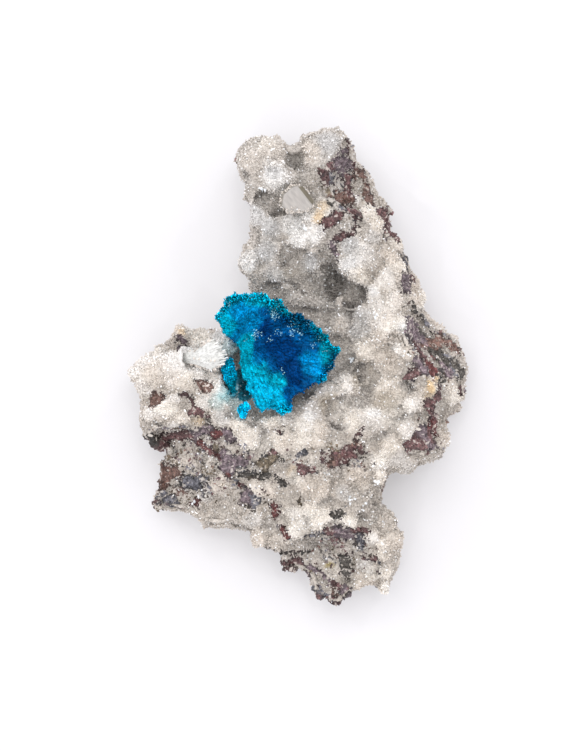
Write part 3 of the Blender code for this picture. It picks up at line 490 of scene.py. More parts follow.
# x, y, half width, half height and depth of each hollow; the depth also sets how much painted shade it gets
HOLLOWS = [
    (-0.5, 30.6, 0.7, 1.5, 0.3), (0.1, 28.3, 0.8, 1.3, 0.3), (-5.3, 24.4, 1.4, 0.8, 0.74),
    (-2.9, 22.8, 1.1, 1.0, 0.62), (-8.4, 27.6, 0.8, 1.2, 0.39), (-6.3, 18.1, 0.9, 0.8, 0.39),
    (-3.2, 18.5, 1.5, 0.5, 0.29), (-1.8, 15.4, 1.5, 0.8, 0.62), (-4.0, 11.6, 1.3, 0.6, 0.87),
    (-0.6, 12.0, 1.1, 0.6, 0.62), (0.8, 11.5, 0.5, 0.5, 0.87), (2.9, 12.8, 2.2, 1.7, 0.2),
    (4.3, 13.8, 0.7, 1.2, 0.74), (5.2, 12.0, 1.1, 1.3, 1.0), (7.6, 9.9, 1.2, 0.7, 1.0),
    (8.8, 11.0, 1.0, 1.3, 0.62), (7.1, 8.0, 0.8, 1.6, 0.74), (4.8, 8.8, 2.0, 2.2, 0.22),
    (1.8, 8.2, 1.6, 0.6, 0.5), (12.2, 17.5, 1.0, 0.8, 0.29), (12.4, 19.6, 1.1, 0.6, 0.24),
    (7.0, 0.9, 0.8, 1.6, 0.5), (8.7, -0.3, 0.9, 0.5, 1.0), (9.5, -1.5, 0.5, 1.3, 0.5),
    (10.2, -3.8, 1.0, 1.8, 0.35), (9.0, -5.4, 1.1, 0.6, 0.5), (12.2, 0.0, 1.9, 0.8, 0.2),
    (15.6, -3.2, 1.1, 0.5, 0.74), (15.2, -7.9, 1.5, 0.5, 0.62), (4.5, -6.8, 0.6, 1.5, 0.39),
    (6.3, -5.1, 1.2, 0.5, 0.5), (5.9, -9.0, 1.5, 0.6, 0.68), (12.2, -10.5, 1.4, 0.6, 0.39),
    (-10.3, -6.9, 1.0, 0.7, 0.62), (-6.9, -8.1, 0.6, 1.6, 0.39), (-5.4, -9.7, 0.7, 1.6, 0.34),
    (-20.0, 2.6, 1.2, 0.5, 0.29), (-17.1, 3.3, 0.7, 0.5, 0.34), (-21.0, -9.2, 1.3, 0.6, 0.39),
    (-17.0, -8.9, 0.6, 0.5, 0.39), (-14.0, -8.4, 1.0, 0.7, 0.62), (-8.0, -2.4, 0.9, 2.2, 1.0),
    (-11.2, -0.7, 0.8, 0.5, 0.87), (-10.2, -1.8, 0.6, 0.6, 0.87), (4.5, -20.0, 1.3, 0.6, 0.29),
    (9.6, -19.0, 1.1, 0.6, 0.29), (12.2, -20.8, 1.7, 0.8, 0.24), (9.8, -22.4, 1.3, 0.8, 0.39),
    (1.2, -23.3, 0.8, 0.9, 0.24), (-4.7, -23.6, 1.1, 1.2, 0.29), (-8.6, -24.6, 1.0, 0.6, 0.39),
    (3.0, -27.6, 2.2, 1.2, 0.34), (4.9, -27.4, 1.0, 0.8, 0.5), (7.4, -32.3, 1.3, 0.5, 0.39),
    (12.0, -29.9, 0.9, 0.4, 0.39), (-18.8, -13.2, 1.0, 0.8, 0.39), (5.9, 0.6, 0.6, 1.0, 0.29),
    (-6.6, -6.4, 0.5, 1.0, 0.39), (0.6, -3.4, 1.0, 0.6, 0.62), (-2.2, -15.2, 0.6, 0.6, 0.2),
]
# x, y, half width and half height of each stain, its tone and its strength
STAINS = [
    (3.3, 23.6, 1.0, 0.7, "ochre", 0.45), (2.9, 21.9, 0.8, 1.1, "ochre", 0.7),
    (19.1, -2.2, 0.8, 0.6, "ochre", 1.0), (19.3, -3.7, 1.1, 1.6, "ochre", 1.0),
    (20.7, -1.6, 0.6, 0.8, "ochre", 0.8), (-15.3, -8.5, 0.9, 0.6, "ochre", 0.8),
    (-1.3, -16.3, 1.1, 1.2, "ochre", 0.7), (-17.5, 5.3, 0.9, 0.8, "ochre", 0.6),
    (10.8, 23.9, 1.3, 1.1, "cream", 0.9), (13.5, 6.3, 2.4, 1.3, "cream", 0.9),
    (-20.4, -0.9, 3.3, 2.1, "beige", 0.7), (-19.8, -6.4, 1.8, 1.2, "cream", 0.9),
    (-1.0, -17.1, 1.3, 1.3, "cream", 0.8), (0.2, -23.1, 2.7, 2.4, "cream", 0.8),
    (3.5, -22.3, 2.1, 2.1, "cream", 0.6), (6.9, -23.1, 2.1, 1.3, "cream", 0.6),
    (9.2, -26.1, 1.5, 1.8, "cream", 0.6), (-6.6, -11.1, 3.9, 2.1, "cream", 0.6),
    (0.2, -9.6, 3.0, 2.1, "cream", 0.5), (11.6, -13.6, 1.8, 1.2, "cream", 0.9),
    (4.7, -2.1, 3.0, 1.8, "cream", 0.3), (6.9, -6.6, 2.7, 2.1, "cream", 0.6),
    (14.4, -7.3, 2.7, 2.4, "cream", 0.6), (22.7, -5.1, 2.1, 2.4, "cream", 0.6),
    (19.2, 9.9, 0.9, 3.0, "cream", 0.8), (-5.5, 33.6, 2.7, 2.1, "cream", 0.5),
    (12.9, -33.6, 1.2, 1.2, "cream", 1.0), (10.7, -31.3, 1.5, 1.5, "cream", 0.7),
    (6.9, -32.5, 1.8, 0.6, "olive", 0.7), (4.8, -27.4, 1.3, 1.2, "olive", 0.7),
    (-4.6, -15.0, 1.2, 0.8, "olive", 0.4), (4.4, -30.3, 0.9, 0.4, "yellow", 1.0),
    (-10.2, -4.0, 1.8, 1.6, "aqua", 0.75), (-10.0, 2.9, 1.3, 1.5, "aqua", 0.6),
    (-8.8, -6.3, 1.2, 1.2, "aqua", 0.5), (-12.1, -5.4, 1.2, 1.2, "aqua", 0.3),
    (9.2, -1.6, 1.5, 2.2, "olive", 0.5), (12.0, -5.2, 2.0, 1.6, "olive", 0.35),
    (4.6, -5.6, 1.7, 2.0, "olive", 0.55), (-2.0, 14.0, 3.0, 1.5, "olive", 0.2),
    (-3.8, 28.5, 1.7, 1.3, "dove", 0.55), (7.6, 15.3, 1.5, 1.1, "dove", 0.55),
    (12.8, 7.2, 1.4, 1.5, "beige", 0.65), (14.2, 9.9, 0.9, 1.3, "beige", 0.65),
    (-7.6, -10.9, 1.3, 1.1, "beige", 0.6), (1.9, 20.4, 0.9, 1.0, "beige", 0.4),
    (-0.8, 20.3, 1.0, 1.5, "snow", 0.7), (10.9, 10.7, 0.9, 0.9, "snow", 0.8),
    (15.4, 5.4, 1.0, 1.1, "snow", 0.8), (-11.5, -3.4, 0.8, 0.8, "snow", 0.5),
    (1.6, -7.5, 1.1, 0.9, "snow", 0.7), (11.2, -6.9, 1.2, 0.9, "snow", 0.7),
    (-16.4, 2.0, 1.4, 1.1, "snow", 0.9),
]
print(len(LUMPS), "lumps,", len(HOLLOWS), "hollows,", len(STAINS), "stains")

# %% Shape and shade the crust
LUMP = 3.3  # mm across a rounded lump on the walls
SMALL_LUMP = LUMP * 0.42
# x and y of both ends, the distances where the stroke is 0 and 1, and its fraying
GAPS = [(-8.7, -1.2, -8.0, -4.1, 1.3, 0.8, 0.4), (-11.2, -0.6, -9.6, -4.2, 0.6, 0.2, 0.3)]
# The second of these strokes, beside the rosette, is painted light that lifts the shade there.
SILK_AND_LIGHT_STROKES = [(-18.0, 0.6, -13.0, 2.0, 3.0, 0.6, 1.2), (-11.0, 4.2, -10.9, 0.8, 2.0, 0.9, 0.8)]
THIN_WALLS = [(-9.7, 0.5, -8.5, -4.5, 4.0, 2.4, 0.0)]


def valleys(size, shift):
    """0 in the middle of every rounded lump of this size, 1 in the valleys between lumps."""
    wandering = points / size + noise_at(points, size * 0.6, shift)[:, None] * 0.15 + shift
    nearest = np.array([noise.voronoi(Vector(place))[0][:2] for place in wandering])
    return smooth_step(0.5, 0.0, nearest[:, 1] - nearest[:, 0])


def blended(base, other, share, strength=1.0):
    """Moves every point's colour towards another colour by its share."""
    return base + (other - base) * share[:, None] * strength


tones = {name: np.array(linear(colour)) for name, colour in CRUST_TONES.items()}
# Each lump fades from the tone of its top to ash at its foot: partly the crust's own colour, partly a painted
# highlight on top and painted shade around it.
dome = np.zeros(len(points))
summit = np.tile(tones["ash"], (len(points), 1))
ragged = 1 + 0.35 * wobble
for lump_x, lump_y, radius, name in LUMPS:
    rise = np.hypot(x - lump_x, y - lump_y) / (radius * ragged * 1.15)
    rise = np.sqrt(np.clip(1 - rise**2, 0, 1))
    dome = np.maximum(dome, rise)
    summit = blended(summit, tones[name], smooth_step(0, 1, rise**1.5))
sunk = np.zeros(len(points))
for hollow_x, hollow_y, half_x, half_y, deep in HOLLOWS:
    rim = np.sqrt(within(hollow_x, hollow_y, half_x, half_y)) + wobble * 0.8
    sunk = np.maximum(sunk, deep * smooth_step(1.6, 0.2, rim))
sunk *= top
valley = (1 - dome) * top + valleys(LUMP, 3.7) * (1 - top)
dip = valleys(SMALL_LUMP, 9.1)
# Painted shade: the crust darkens where valleys, dips and hollows lie, and this is also stored as its shade.
hollow_shade = np.clip(0.33 * (valley - 0.35) + 0.1 * (dip - 0.4) + sunk, 0, 1) * top
print("hollowness on the upper side:", np.percentile(hollow_shade[top > 0.5], (10, 50, 90)).round(2))

# %% Colour the crust
blend = np.clip(0.5 + 0.55 * broad + 0.35 * noise_at(points, 2.0, 11.0), 0, 1)[:, None]
crust = tones["fawn"] + (tones["snow"] - tones["ash"]) * (0.22 - 0.4 * blend)
# painted highlight: the lumps' tops are drawn towards their lighter tones
crust = blended(crust, summit, smooth_step(0, 0.8, dome**1.5) * top, 0.75)
stained = smooth_step(8, -4, y) + smooth_step(6, 12, x)  # the lower half and the right side are iron-stained
crust = blended(crust, tones["sand"], np.clip(stained, 0, 1), 0.25)
for centre_x, centre_y, half_x, half_y, name, strength in STAINS:
    share = strength * smooth_step(1.6, 0.1, within(centre_x, centre_y, half_x, half_y) + wobble) * top
    crust = blended(crust, tones[name], share)
# painted shade in the hollows: first towards ash, then towards a dark brown where they lie deepest
speckled_shade = np.clip(hollow_shade * (1 + 0.5 * grainy), 0, 1)
crust = blended(crust, tones["ash"], smooth_step(0.02, 0.4, speckled_shade), 0.6)
crust = blended(crust, tones["deep_shade"], smooth_step(0.3, 1.0, speckled_shade), 0.8)
crust[:, :3] *= (1 - 0.2 * mixed * top)[:, None]
# painted light: a teal glow in the shaded gaps beside the rosette
crust = blended(crust, tones["dusk"], ribbons(GAPS), 0.92)
silk_and_painted_light = ribbons(SILK_AND_LIGHT_STROKES) * (top * (1 - bare))  # round the sheaf the crust is smooth, white and hardly hollow, and beside the rosette it gets painted light that lifts the shade
crust = blended(crust, tones["snow"], silk_and_painted_light, 0.6)
hollow_shade = hollow_shade * (1 - 0.9 * silk_and_painted_light)
write_attributes(rock, tint=crust, tone=tone, bare=bare, shade=hollow_shade)
print("crust from", crust[:, :3].min().round(2), "to", crust[:, :3].max().round(2))

# %% [markdown]
# ## Relief on the skin
#
# Displace modifiers do the carving, each held to its own part of the skin by a vertex group: one sinks the
# ground under the grains, one cuts the valleys between the lumps, one beads the crust with small round
# swellings, and two sink the bare rock and break it into angular steps. These only push inwards. One more
# swells the walls by about what the others take off them, so the outline stays.

# %% Carve the skin
foot = smooth_step(1.9, 1.0, z)  # 1 on the lowest millimetre, which isn't carved
carving = (0.6 * valley + 0.15 * dip + 0.25 * sunk) * (1 - 0.6 * bare)
carving = carving * (1 - 0.85 * ribbons(THIN_WALLS)) * (1 - 0.8 * silk_and_painted_light)
for name, weights in {
    "ground": 1, "crusted": 1 - bare, "valleys": carving, "broken": bare, "walls": 1 - top,
}.items():
    write_group(rock, name, weights * (1 - foot))


def displace(piece, name, outwards, group="", texture=None):
    """A Displace modifier that moves the surface out by this many millimetres, or in where it is negative."""
    shift = piece.modifiers.new(name, "DISPLACE")
    shift.vertex_group = group
    shift.strength = outwards * MM
    shift.mid_level = 0
    shift.texture = texture


beads = bpy.data.textures.new("beads", "VORONOI")
beads.distance_metric = "DISTANCE"
beads.noise_scale = 1.4 * MM
flakes = bpy.data.textures.new("flakes", "VORONOI")
flakes.distance_metric = "CHEBYCHEV"
flakes.noise_scale = 1.1 * MM
displace(rock, "sink the ground", -0.1, "ground")
displace(rock, "swell the walls", 0.45, "walls")
displace(rock, "valleys between lumps", -1.7, "valleys")
displace(rock, "round beads", -0.35, "crusted", beads)
displace(rock, "recess of the bare rock", -0.2, "broken")
displace(rock, "angular steps", -0.55, "broken", flakes)
apply_all(rock)
carved, _ = points_of(rock)
carved[:, 2] = np.maximum(carved[:, 2], 0)
move_points(rock, carved)
clearance = smooth_step(1.0, 1.5, carved[:, 2])  # nothing is sown where it would reach the floor
write_attributes(
    rock, druse=(1 - bare) ** 2 * (0.2 + 0.8 * top) * clearance, rubble=bare * (0.3 + 0.7 * top) * clearance
)
print("carved down by up to", round(np.linalg.norm(carved - points, axis=1).max(), 2), "mm")

# %% [markdown]
# ## Finish of the rock
#
# One material covers both grounds, because they meet in a ragged line finer than the mesh. A noise of about
# 0.4 mm is added to the stored share of bare rock and cut off sharply, which frays that line. Basalt is dull
# and slightly rough, peppered with black and with pale specks of zeolite. The ground of the crust is brighter
# and as fine as sugar.

# %% Breccia
def new_material(name, finish):
    """A new material, with each uniform value of its finish on the shader's own socket."""
    material = bpy.data.materials.new(name)
    material.use_nodes = True
    shader = material.node_tree.nodes["Principled BSDF"]
    for socket, value in finish.items():
        shader.inputs[socket].default_value = value
    print("material:", name)
    return material, material.node_tree, shader


def settle(piece, material, solid=None):
    """Gives a finished piece its material and its place on the specimen, and hides the solid it stands for, if
    any.
    """
    piece.data.materials.append(material)
    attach(piece, "root")
    if solid:
        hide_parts(solid)


def speckle_of(tree, place, size, low, high, below, above):
    """Noise grains of about this size in millimetres, spread from one level to another between two cuts."""
    speckle = add_node(tree, "ShaderNodeTexNoise", {"Vector": place, "Scale": 1 / (size * MM), "Detail": 3.0})
    return add_node(tree, "ShaderNodeMapRange", {
        "Value": speckle.outputs["Fac"], "From Min": low, "From Max": high, "To Min": below, "To Max": above,
    }).outputs[0]


breccia, tree, shader = new_material("zeolite-crusted basalt breccia", {"Roughness": 0.55, "IOR": 1.5})
place = add_node(tree, "ShaderNodeTexCoord").outputs["Object"]
tint, stone = (
    add_node(tree, "ShaderNodeAttribute", attribute_name=name).outputs["Color"] for name in ("tint", "tone")
)
share = add_node(tree, "ShaderNodeAttribute", attribute_name="bare").outputs["Fac"]
fray = speckle_of(tree, place, 0.4, 0.0, 1.0, -0.45, 0.45)
edge = add_node(tree, "ShaderNodeMath", {0: fray, 1: share}, operation="ADD")
cut = add_node(tree, "ShaderNodeMapRange", {"Value": edge.outputs[0], "From Min": 0.42, "From Max": 0.58})
grit = speckle_of(tree, place, 0.45, 0.32, 0.68, 0.4, 1.4)
stone = add_node(tree, "ShaderNodeVectorMath", {0: stone, "Scale": grit}, operation="SCALE").outputs[0]
specks = speckle_of(tree, place, 0.3, 0.60, 0.66, 0.0, 0.75)
stone = add_node(tree, "ShaderNodeMix", {"Factor": specks, 6: stone, 7: tint}, data_type="RGBA").outputs[2]
sugar = speckle_of(tree, place, 0.22, 0.35, 0.65, 0.82, 1.05)
pale = add_node(tree, "ShaderNodeVectorMath", {0: tint, "Scale": sugar}, operation="SCALE").outputs[0]
surface = add_node(tree, "ShaderNodeMix", {"Factor": cut.outputs[0], 6: pale, 7: stone}, data_type="RGBA")
bumps = add_node(tree, "ShaderNodeBump", {"Height": grit, "Strength": 0.6, "Distance": 0.2 * MM})
bumps = add_node(tree, "ShaderNodeBump", {
    "Height": sugar, "Strength": 0.5, "Distance": 0.3 * MM, "Normal": bumps.outputs[0],
})
tree.links.new(surface.outputs[2], shader.inputs["Base Color"])
tree.links.new(bumps.outputs[0], shader.inputs["Normal"])
select_only(rock)
bpy.ops.object.shade_smooth()
settle(rock, breccia, "matrix")
print(breccia.name, "has", len(tree.nodes), "nodes")

# %% [markdown]
# ## Grains of druse
#
# Under a lens the crust is a turf of pointed crystals, each 0.2 to 0.3 mm wide. Three grains are modelled: a
# three-sided point, a stubbier one and a four-sided chisel. Each is one unit tall and open at its buried end.
# They are copied over the skin by Geometry Nodes, turned to the surface with a random tilt, and realized into
# plain mesh at the end.

# %% Model the three grains
def put_in(piece, collection):
    """Moves a mould into its own collection, away from the finished pieces."""
    for holder in list(piece.users_collection):
        holder.objects.unlink(piece)
    collection.objects.link(piece)


def mould_set(name):
    collection = bpy.data.collections.new(name)
    bpy.context.scene.collection.children.link(collection)
    return collection


POINTED = 0.001  # the share of its width that a ring keeps when it is drawn up to a point


def grain(name, sides, shoulder, taper, ridge, collection):
    """An open prism, one unit tall, whose top ring is drawn up to a point or to a short ridge."""
    bpy.ops.mesh.primitive_cone_add(
        vertices=sides, radius1=0.5 * taper, radius2=0.5, depth=shoulder, end_fill_type="NOTHING",
        location=(0, 0, shoulder / 2),
    )
    piece = bpy.context.active_object
    piece.name = name
    bpy.ops.object.transform_apply(location=True, rotation=True, scale=True)
    pick_points(piece, lambda place: place.z > shoulder - 1e-4)
    bpy.ops.mesh.extrude_region_move(TRANSFORM_OT_translate={"value": (0, 0, 1 - shoulder)})
    bpy.ops.transform.resize(value=(ridge, POINTED, 1), center_override=(0, 0, 1))
    bpy.ops.mesh.remove_doubles(threshold=0.02)
    bpy.ops.object.mode_set(mode="OBJECT")
    write_attributes(piece, height=np.array([vertex.co.z for vertex in piece.data.vertices]))
    put_in(piece, collection)
    return piece


grain_set = mould_set("grains")
grains = [
    grain("grain_point", 3, 0.5, 0.95, POINTED, grain_set),
    grain("grain_stub", 3, 0.3, 1.0, POINTED, grain_set),
    grain("grain_chisel", 4, 0.7, 0.9, 0.6, grain_set),
]
print("faces a grain:", [len(piece.data.polygons) for piece in grains])

# %% [markdown]
# ## Sowing crystals over a surface
#
# The same node group sows druse over the rock and blades over the rosette. It takes a density in crystals per
# square millimetre, scaled by an attribute of the ground; a range of widths and lengths; a tilt; and a band
# along the specimen, so that a large turf can be cut into pieces of a handy size. With a root point given,
# the crystals stand away from that point, as blades in a fan do, and without one they stand on the surface.

# %% The sowing node group
FAR = 99  # mm, past every end of the specimen


def sow(ground, name, kinds, density, width, length, tilt, weight,
        band=(-FAR, FAR), root=None, lift=0.3, flat=1.0, seed=1):
    """Grows crystals on a copy of the ground and returns them as one mesh piece."""
    group = bpy.data.node_groups.new(name, "GeometryNodeTree")
    for direction in ("INPUT", "OUTPUT"):
        group.interface.new_socket("Geometry", in_out=direction, socket_type="NodeSocketGeometry")
    source = add_node(group, "NodeGroupInput")
    position = add_node(group, "GeometryNodeInputPosition").outputs[0]
    along = add_node(group, "ShaderNodeSeparateXYZ", {0: position}).outputs["Y"]
    factor = add_node(group, "GeometryNodeInputNamedAttribute", {"Name": weight}).outputs["Attribute"]
    for end, past in zip(band, ("GREATER_THAN", "LESS_THAN")):
        in_band = add_node(group, "ShaderNodeMath", {0: along, 1: end * MM}, operation=past).outputs[0]
        factor = add_node(group, "ShaderNodeMath", {0: factor, 1: in_band}, operation="MULTIPLY").outputs[0]
    factor = add_node(
        group, "ShaderNodeMath", {0: factor, 1: density / MM**2}, operation="MULTIPLY"
    ).outputs[0]
    seeds = add_node(
        group, "GeometryNodeDistributePointsOnFaces",
        {"Mesh": source.outputs[0], "Density": factor, "Seed": seed}, distribute_method="RANDOM",
    )
    turned = seeds.outputs["Rotation"]
    if root:
        root_point = [side * MM for side in root]
        away = add_node(group, "ShaderNodeVectorMath", {0: position, 1: root_point}, operation="SUBTRACT")
        away = add_node(group, "ShaderNodeVectorMath", {0: away.outputs[0]}, operation="NORMALIZE")
        away = add_node(
            group, "ShaderNodeVectorMath",
            {0: seeds.outputs["Normal"], 1: (lift, lift, lift), 2: away.outputs[0]}, operation="MULTIPLY_ADD",
        )
        turned = add_node(
            group, "FunctionNodeAlignRotationToVector", {"Vector": away.outputs[0]}, axis="Z"
        ).outputs[0]
    lean = math.radians(tilt)
    jitter = add_node(
        group, "FunctionNodeRandomValue",
        {0: (-lean, -lean, -math.pi), 1: (lean, lean, math.pi), 8: seed + 1}, data_type="FLOAT_VECTOR",
    ).outputs[0]
    jitter = add_node(group, "FunctionNodeEulerToRotation", {0: jitter}).outputs[0]
    turned = add_node(
        group, "FunctionNodeRotateRotation", {0: turned, 1: jitter}, rotation_space="LOCAL"
    ).outputs[0]
    across, tall, lot = (
        add_node(group, "FunctionNodeRandomValue", {2: least, 3: most, 8: seed + step}).outputs[1]
        for least, most, step in ((*width, 2), (*length, 3), (0.0, 1.0, 4))
    )
    thin = add_node(group, "ShaderNodeMath", {0: across, 1: flat}, operation="MULTIPLY").outputs[0]
    size = add_node(group, "ShaderNodeCombineXYZ", {0: across, 1: thin, 2: tall}).outputs[0]
    size = add_node(group, "ShaderNodeVectorMath", {0: size, "Scale": MM}, operation="SCALE").outputs[0]
    mould = add_node(group, "GeometryNodeCollectionInfo", {0: kinds, 1: True, 2: True}).outputs[0]
    grown = add_node(group, "GeometryNodeInstanceOnPoints", {
        "Points": seeds.outputs["Points"], "Instance": mould, "Pick Instance": True, "Rotation": turned,
        "Scale": size,
    })
    marked = add_node(
        group, "GeometryNodeStoreNamedAttribute",
        {"Geometry": grown.outputs[0], "Name": "lot", "Value": lot}, data_type="FLOAT", domain="INSTANCE",
    )
    plain = add_node(group, "GeometryNodeRealizeInstances", {0: marked.outputs[0]})
    add_node(group, "NodeGroupOutput", {0: plain.outputs[0]})

    piece = duplicate(ground, name)
    piece.modifiers.new("sowing", "NODES").node_group = group
    apply_all(piece)
    piece.data.materials.clear()
    print(name, "has", triangles_of(piece), "triangles")
    return piece


# %% [markdown]
# ## Finish of the druse
#
# Stilbite and heulandite are colourless to white with a glassy to pearly lustre and an index of refraction
# close to 1.5. Massed in fine grains they look like snow or sugar: light goes in, spreads and comes out
# again, so there is hardly a dark side to a grain. Darker grains stand among the pale ones at random, and
# more of them are painted dark in the hollows and towards their buried ends, which is painted shade. About
# one in twenty is painted pure white, a painted glint.

# %% Druse
FLASHING = 0.945  # grains whose lot is above this are painted pure white, a painted glint
druse, tree, shader = new_material("zeolite druse, glassy", {"Roughness": 0.15, "IOR": 1.5})
tint = add_node(tree, "ShaderNodeAttribute", attribute_name="tint").outputs["Color"]
height, lot, shade = (
    add_node(tree, "ShaderNodeAttribute", attribute_name=name).outputs["Fac"]
    for name in ("height", "lot", "shade")
)
# painted shade: the grains darken in the hollows
darkest = add_node(tree, "ShaderNodeMapRange", {"Value": shade, "To Min": 0.86, "To Max": 0.35}).outputs[0]
varied = add_node(tree, "ShaderNodeMapRange", {"Value": lot, "To Min": darkest, "To Max": 1.14}).outputs[0]
# painted shade: each grain is darker towards its buried end
rooted = add_node(tree, "ShaderNodeMapRange", {
    "Value": height, "From Min": 0.2, "From Max": 0.9, "To Min": 0.78, "To Max": 1.05,
}).outputs[0]
level = add_node(tree, "ShaderNodeMath", {0: rooted, 1: varied}, operation="MULTIPLY").outputs[0]
sugar = add_node(tree, "ShaderNodeVectorMath", {0: tint, "Scale": level}, operation="SCALE").outputs[0]
flash = add_node(tree, "ShaderNodeMath", {0: lot, 1: FLASHING}, operation="GREATER_THAN").outputs[0]
sugar = add_node(
    tree, "ShaderNodeMix", {"Factor": flash, 6: sugar, 7: linear("#FFFFFF")}, data_type="RGBA"
).outputs[2]
tree.links.new(sugar, shader.inputs["Base Color"])

# %% Sow the druse in four bands
# where each band begins and ends along the specimen, in mm
BANDS = {
    "druse_upper": (15.0, FAR), "druse_middle": (0.0, 15.0),
    "druse_lower": (-14.0, 0.0), "druse_end": (-FAR, -14.0),
}
for seed, (name, band) in enumerate(BANDS.items()):
    turf = sow(
        rock, name, grain_set, density=13.3, width=(0.17, 0.32), length=(0.2, 0.45), tilt=40, weight="druse",
        band=band, seed=10 * seed + 1,
    )
    settle(turf, druse)

# %% [markdown]
# ## Glassy points
#
# In places the turf is coarser: crystals of half a millimetre, clear enough to show a dark side and a flash.
# They use the same grains at a larger size, only within the listed soft ovals.

# %% Glassy points
# x, y and radius
COARSE = [
    (0.2, 21.2, 2.6), (-12.6, -2.8, 3.0), (6.9, -18.6, 3.0), (11.4, -21.6, 2.5), (-8.8, -24.0, 2.6),
    (-7.3, 16.7, 2.2), (4.7, 5.4, 2.0), (7.7, 3.9, 2.2), (13.7, 2.4, 2.0), (9.2, -30.6, 2.0),
    (-20.0, -15.6, 2.6), (-11.1, 2.4, 1.7), (2.0, -16.5, 2.4), (-14.0, -20.5, 2.6), (3.0, 14.5, 2.2),
    (9.0, 12.5, 2.2), (-15.5, 3.6, 2.0), (6.2, -3.6, 2.2), (-4.5, 29.5, 2.2), (17.5, -7.5, 2.0),
    (-2.5, -8.5, 2.0), (11.4, 20.0, 1.8),
]


def ovals(places, spots):
    """1 well inside any of the round spots, seen from above, fading to 0 at their edge."""
    return np.max([
        smooth_step(1.1, 0.5, np.hypot(places[:, 0] - spot_x, places[:, 1] - spot_y) / radius)
        for spot_x, spot_y, radius in spots
    ], axis=0)


clear_druse, tree, shader = new_material(
    "zeolite points, clear", {"Roughness": 0.08, "IOR": 1.5, "Transmission Weight": 0.25}
)
tint = add_node(tree, "ShaderNodeAttribute", attribute_name="tint").outputs["Color"]
lot = add_node(tree, "ShaderNodeAttribute", attribute_name="lot").outputs["Fac"]
varied = add_node(tree, "ShaderNodeMapRange", {"Value": lot, "To Min": 0.75, "To Max": 1.2}).outputs[0]
glass = add_node(tree, "ShaderNodeVectorMath", {0: tint, "Scale": varied}, operation="SCALE").outputs[0]
tree.links.new(glass, shader.inputs["Base Color"])
write_attributes(rock, coarse=ovals(points, COARSE) * (1 - bare) * top)
coarse = sow(
    rock, "zeolite_points", grain_set, density=2.6, width=(0.3, 0.6), length=(0.4, 0.8), tilt=45,
    weight="coarse", seed=47,
)
settle(coarse, clear_druse)

# %% [markdown]
# ## Rubble on the bare rock
#
# Broken basalt is a heap of angular splinters, not a smooth face. Three splinters are cut from a cube with a
# few bisecting planes, as a stone is trimmed with a chisel, and sown flat over the bare places in the tone of
# the rock below them. They hide the even skin and give the ragged edge.

# %% Cut three splinters
def splinter(name, planes, collection):
    """A unit cube trimmed by planes, each a point on the plane and the direction to take away."""
    bpy.ops.mesh.primitive_cube_add(size=1.0, location=(0, 0, 0.2))
    piece = bpy.context.active_object
    piece.name = name
    bpy.ops.object.transform_apply(location=True, rotation=True, scale=True)
    bpy.ops.object.mode_set(mode="EDIT")
    for place, direction in planes:
        bpy.ops.mesh.select_all(action="SELECT")
        bpy.ops.mesh.bisect(plane_co=place, plane_no=direction, use_fill=True, clear_outer=True)
    bpy.ops.object.mode_set(mode="OBJECT")
    put_in(piece, collection)
    return piece


splinter_set = mould_set("splinters")
splinters = [
    splinter("splinter_wedge", [((0.1, 0, 0.5), (0.8, 0.2, 1)), ((-0.3, 0, 0), (-1, 0.7, 0.4)),
                                ((0, -0.3, 0), (0.3, -1, 0.2))], splinter_set),
    splinter("splinter_plate", [((0, 0, 0.45), (-0.3, 0.4, 1)), ((0.3, 0.3, 0), (1, 0.8, 0)),
                                ((0, -0.35, 0), (-0.5, -1, 0.3))], splinter_set),
    splinter("splinter_chip", [((0, 0.15, 0.4), (0.2, 0.9, 1)), ((-0.2, 0, 0.4), (-1, -0.4, 0.8)),
                               ((0.35, 0, 0), (1, -0.5, 0.2))], splinter_set),
]
print("faces a splinter:", [len(piece.data.polygons) for piece in splinters])

# %% Basalt
FILMED = 0.84  # splinters whose lot is above this carry a thin film of crust
FILM = 0.7  # how much of the crust's colour the film has
basalt, tree, shader = new_material("basalt, broken", {"Roughness": 0.6, "IOR": 1.55})
place = add_node(tree, "ShaderNodeTexCoord").outputs["Object"]
stone, tint = (
    add_node(tree, "ShaderNodeAttribute", attribute_name=name).outputs["Color"] for name in ("tone", "tint")
)
lot = add_node(tree, "ShaderNodeAttribute", attribute_name="lot").outputs["Fac"]
varied = add_node(tree, "ShaderNodeMapRange", {"Value": lot, "To Min": 0.4, "To Max": 1.45}).outputs[0]
grit = speckle_of(tree, place, 0.3, 0.35, 0.65, 0.5, 1.35)
for level in (varied, grit):
    stone = add_node(tree, "ShaderNodeVectorMath", {0: stone, "Scale": level}, operation="SCALE").outputs[0]
coated = add_node(tree, "ShaderNodeMath", {0: lot, 1: FILMED}, operation="GREATER_THAN").outputs[0]
coated = add_node(tree, "ShaderNodeMath", {0: coated, 1: FILM}, operation="MULTIPLY").outputs[0]
stone = add_node(tree, "ShaderNodeMix", {"Factor": coated, 6: stone, 7: tint}, data_type="RGBA").outputs[2]
bumps = add_node(tree, "ShaderNodeBump", {"Height": grit, "Strength": 0.5, "Distance": 0.1 * MM})
tree.links.new(stone, shader.inputs["Base Color"])
tree.links.new(bumps.outputs[0], shader.inputs["Normal"])

# %% Scatter the rubble
rubble = sow(
    rock, "basalt_rubble", splinter_set, density=5.0, width=(0.25, 0.8), length=(0.2, 0.4), tilt=25,
    weight="rubble", flat=0.6, seed=55,
)
settle(rubble, basalt)

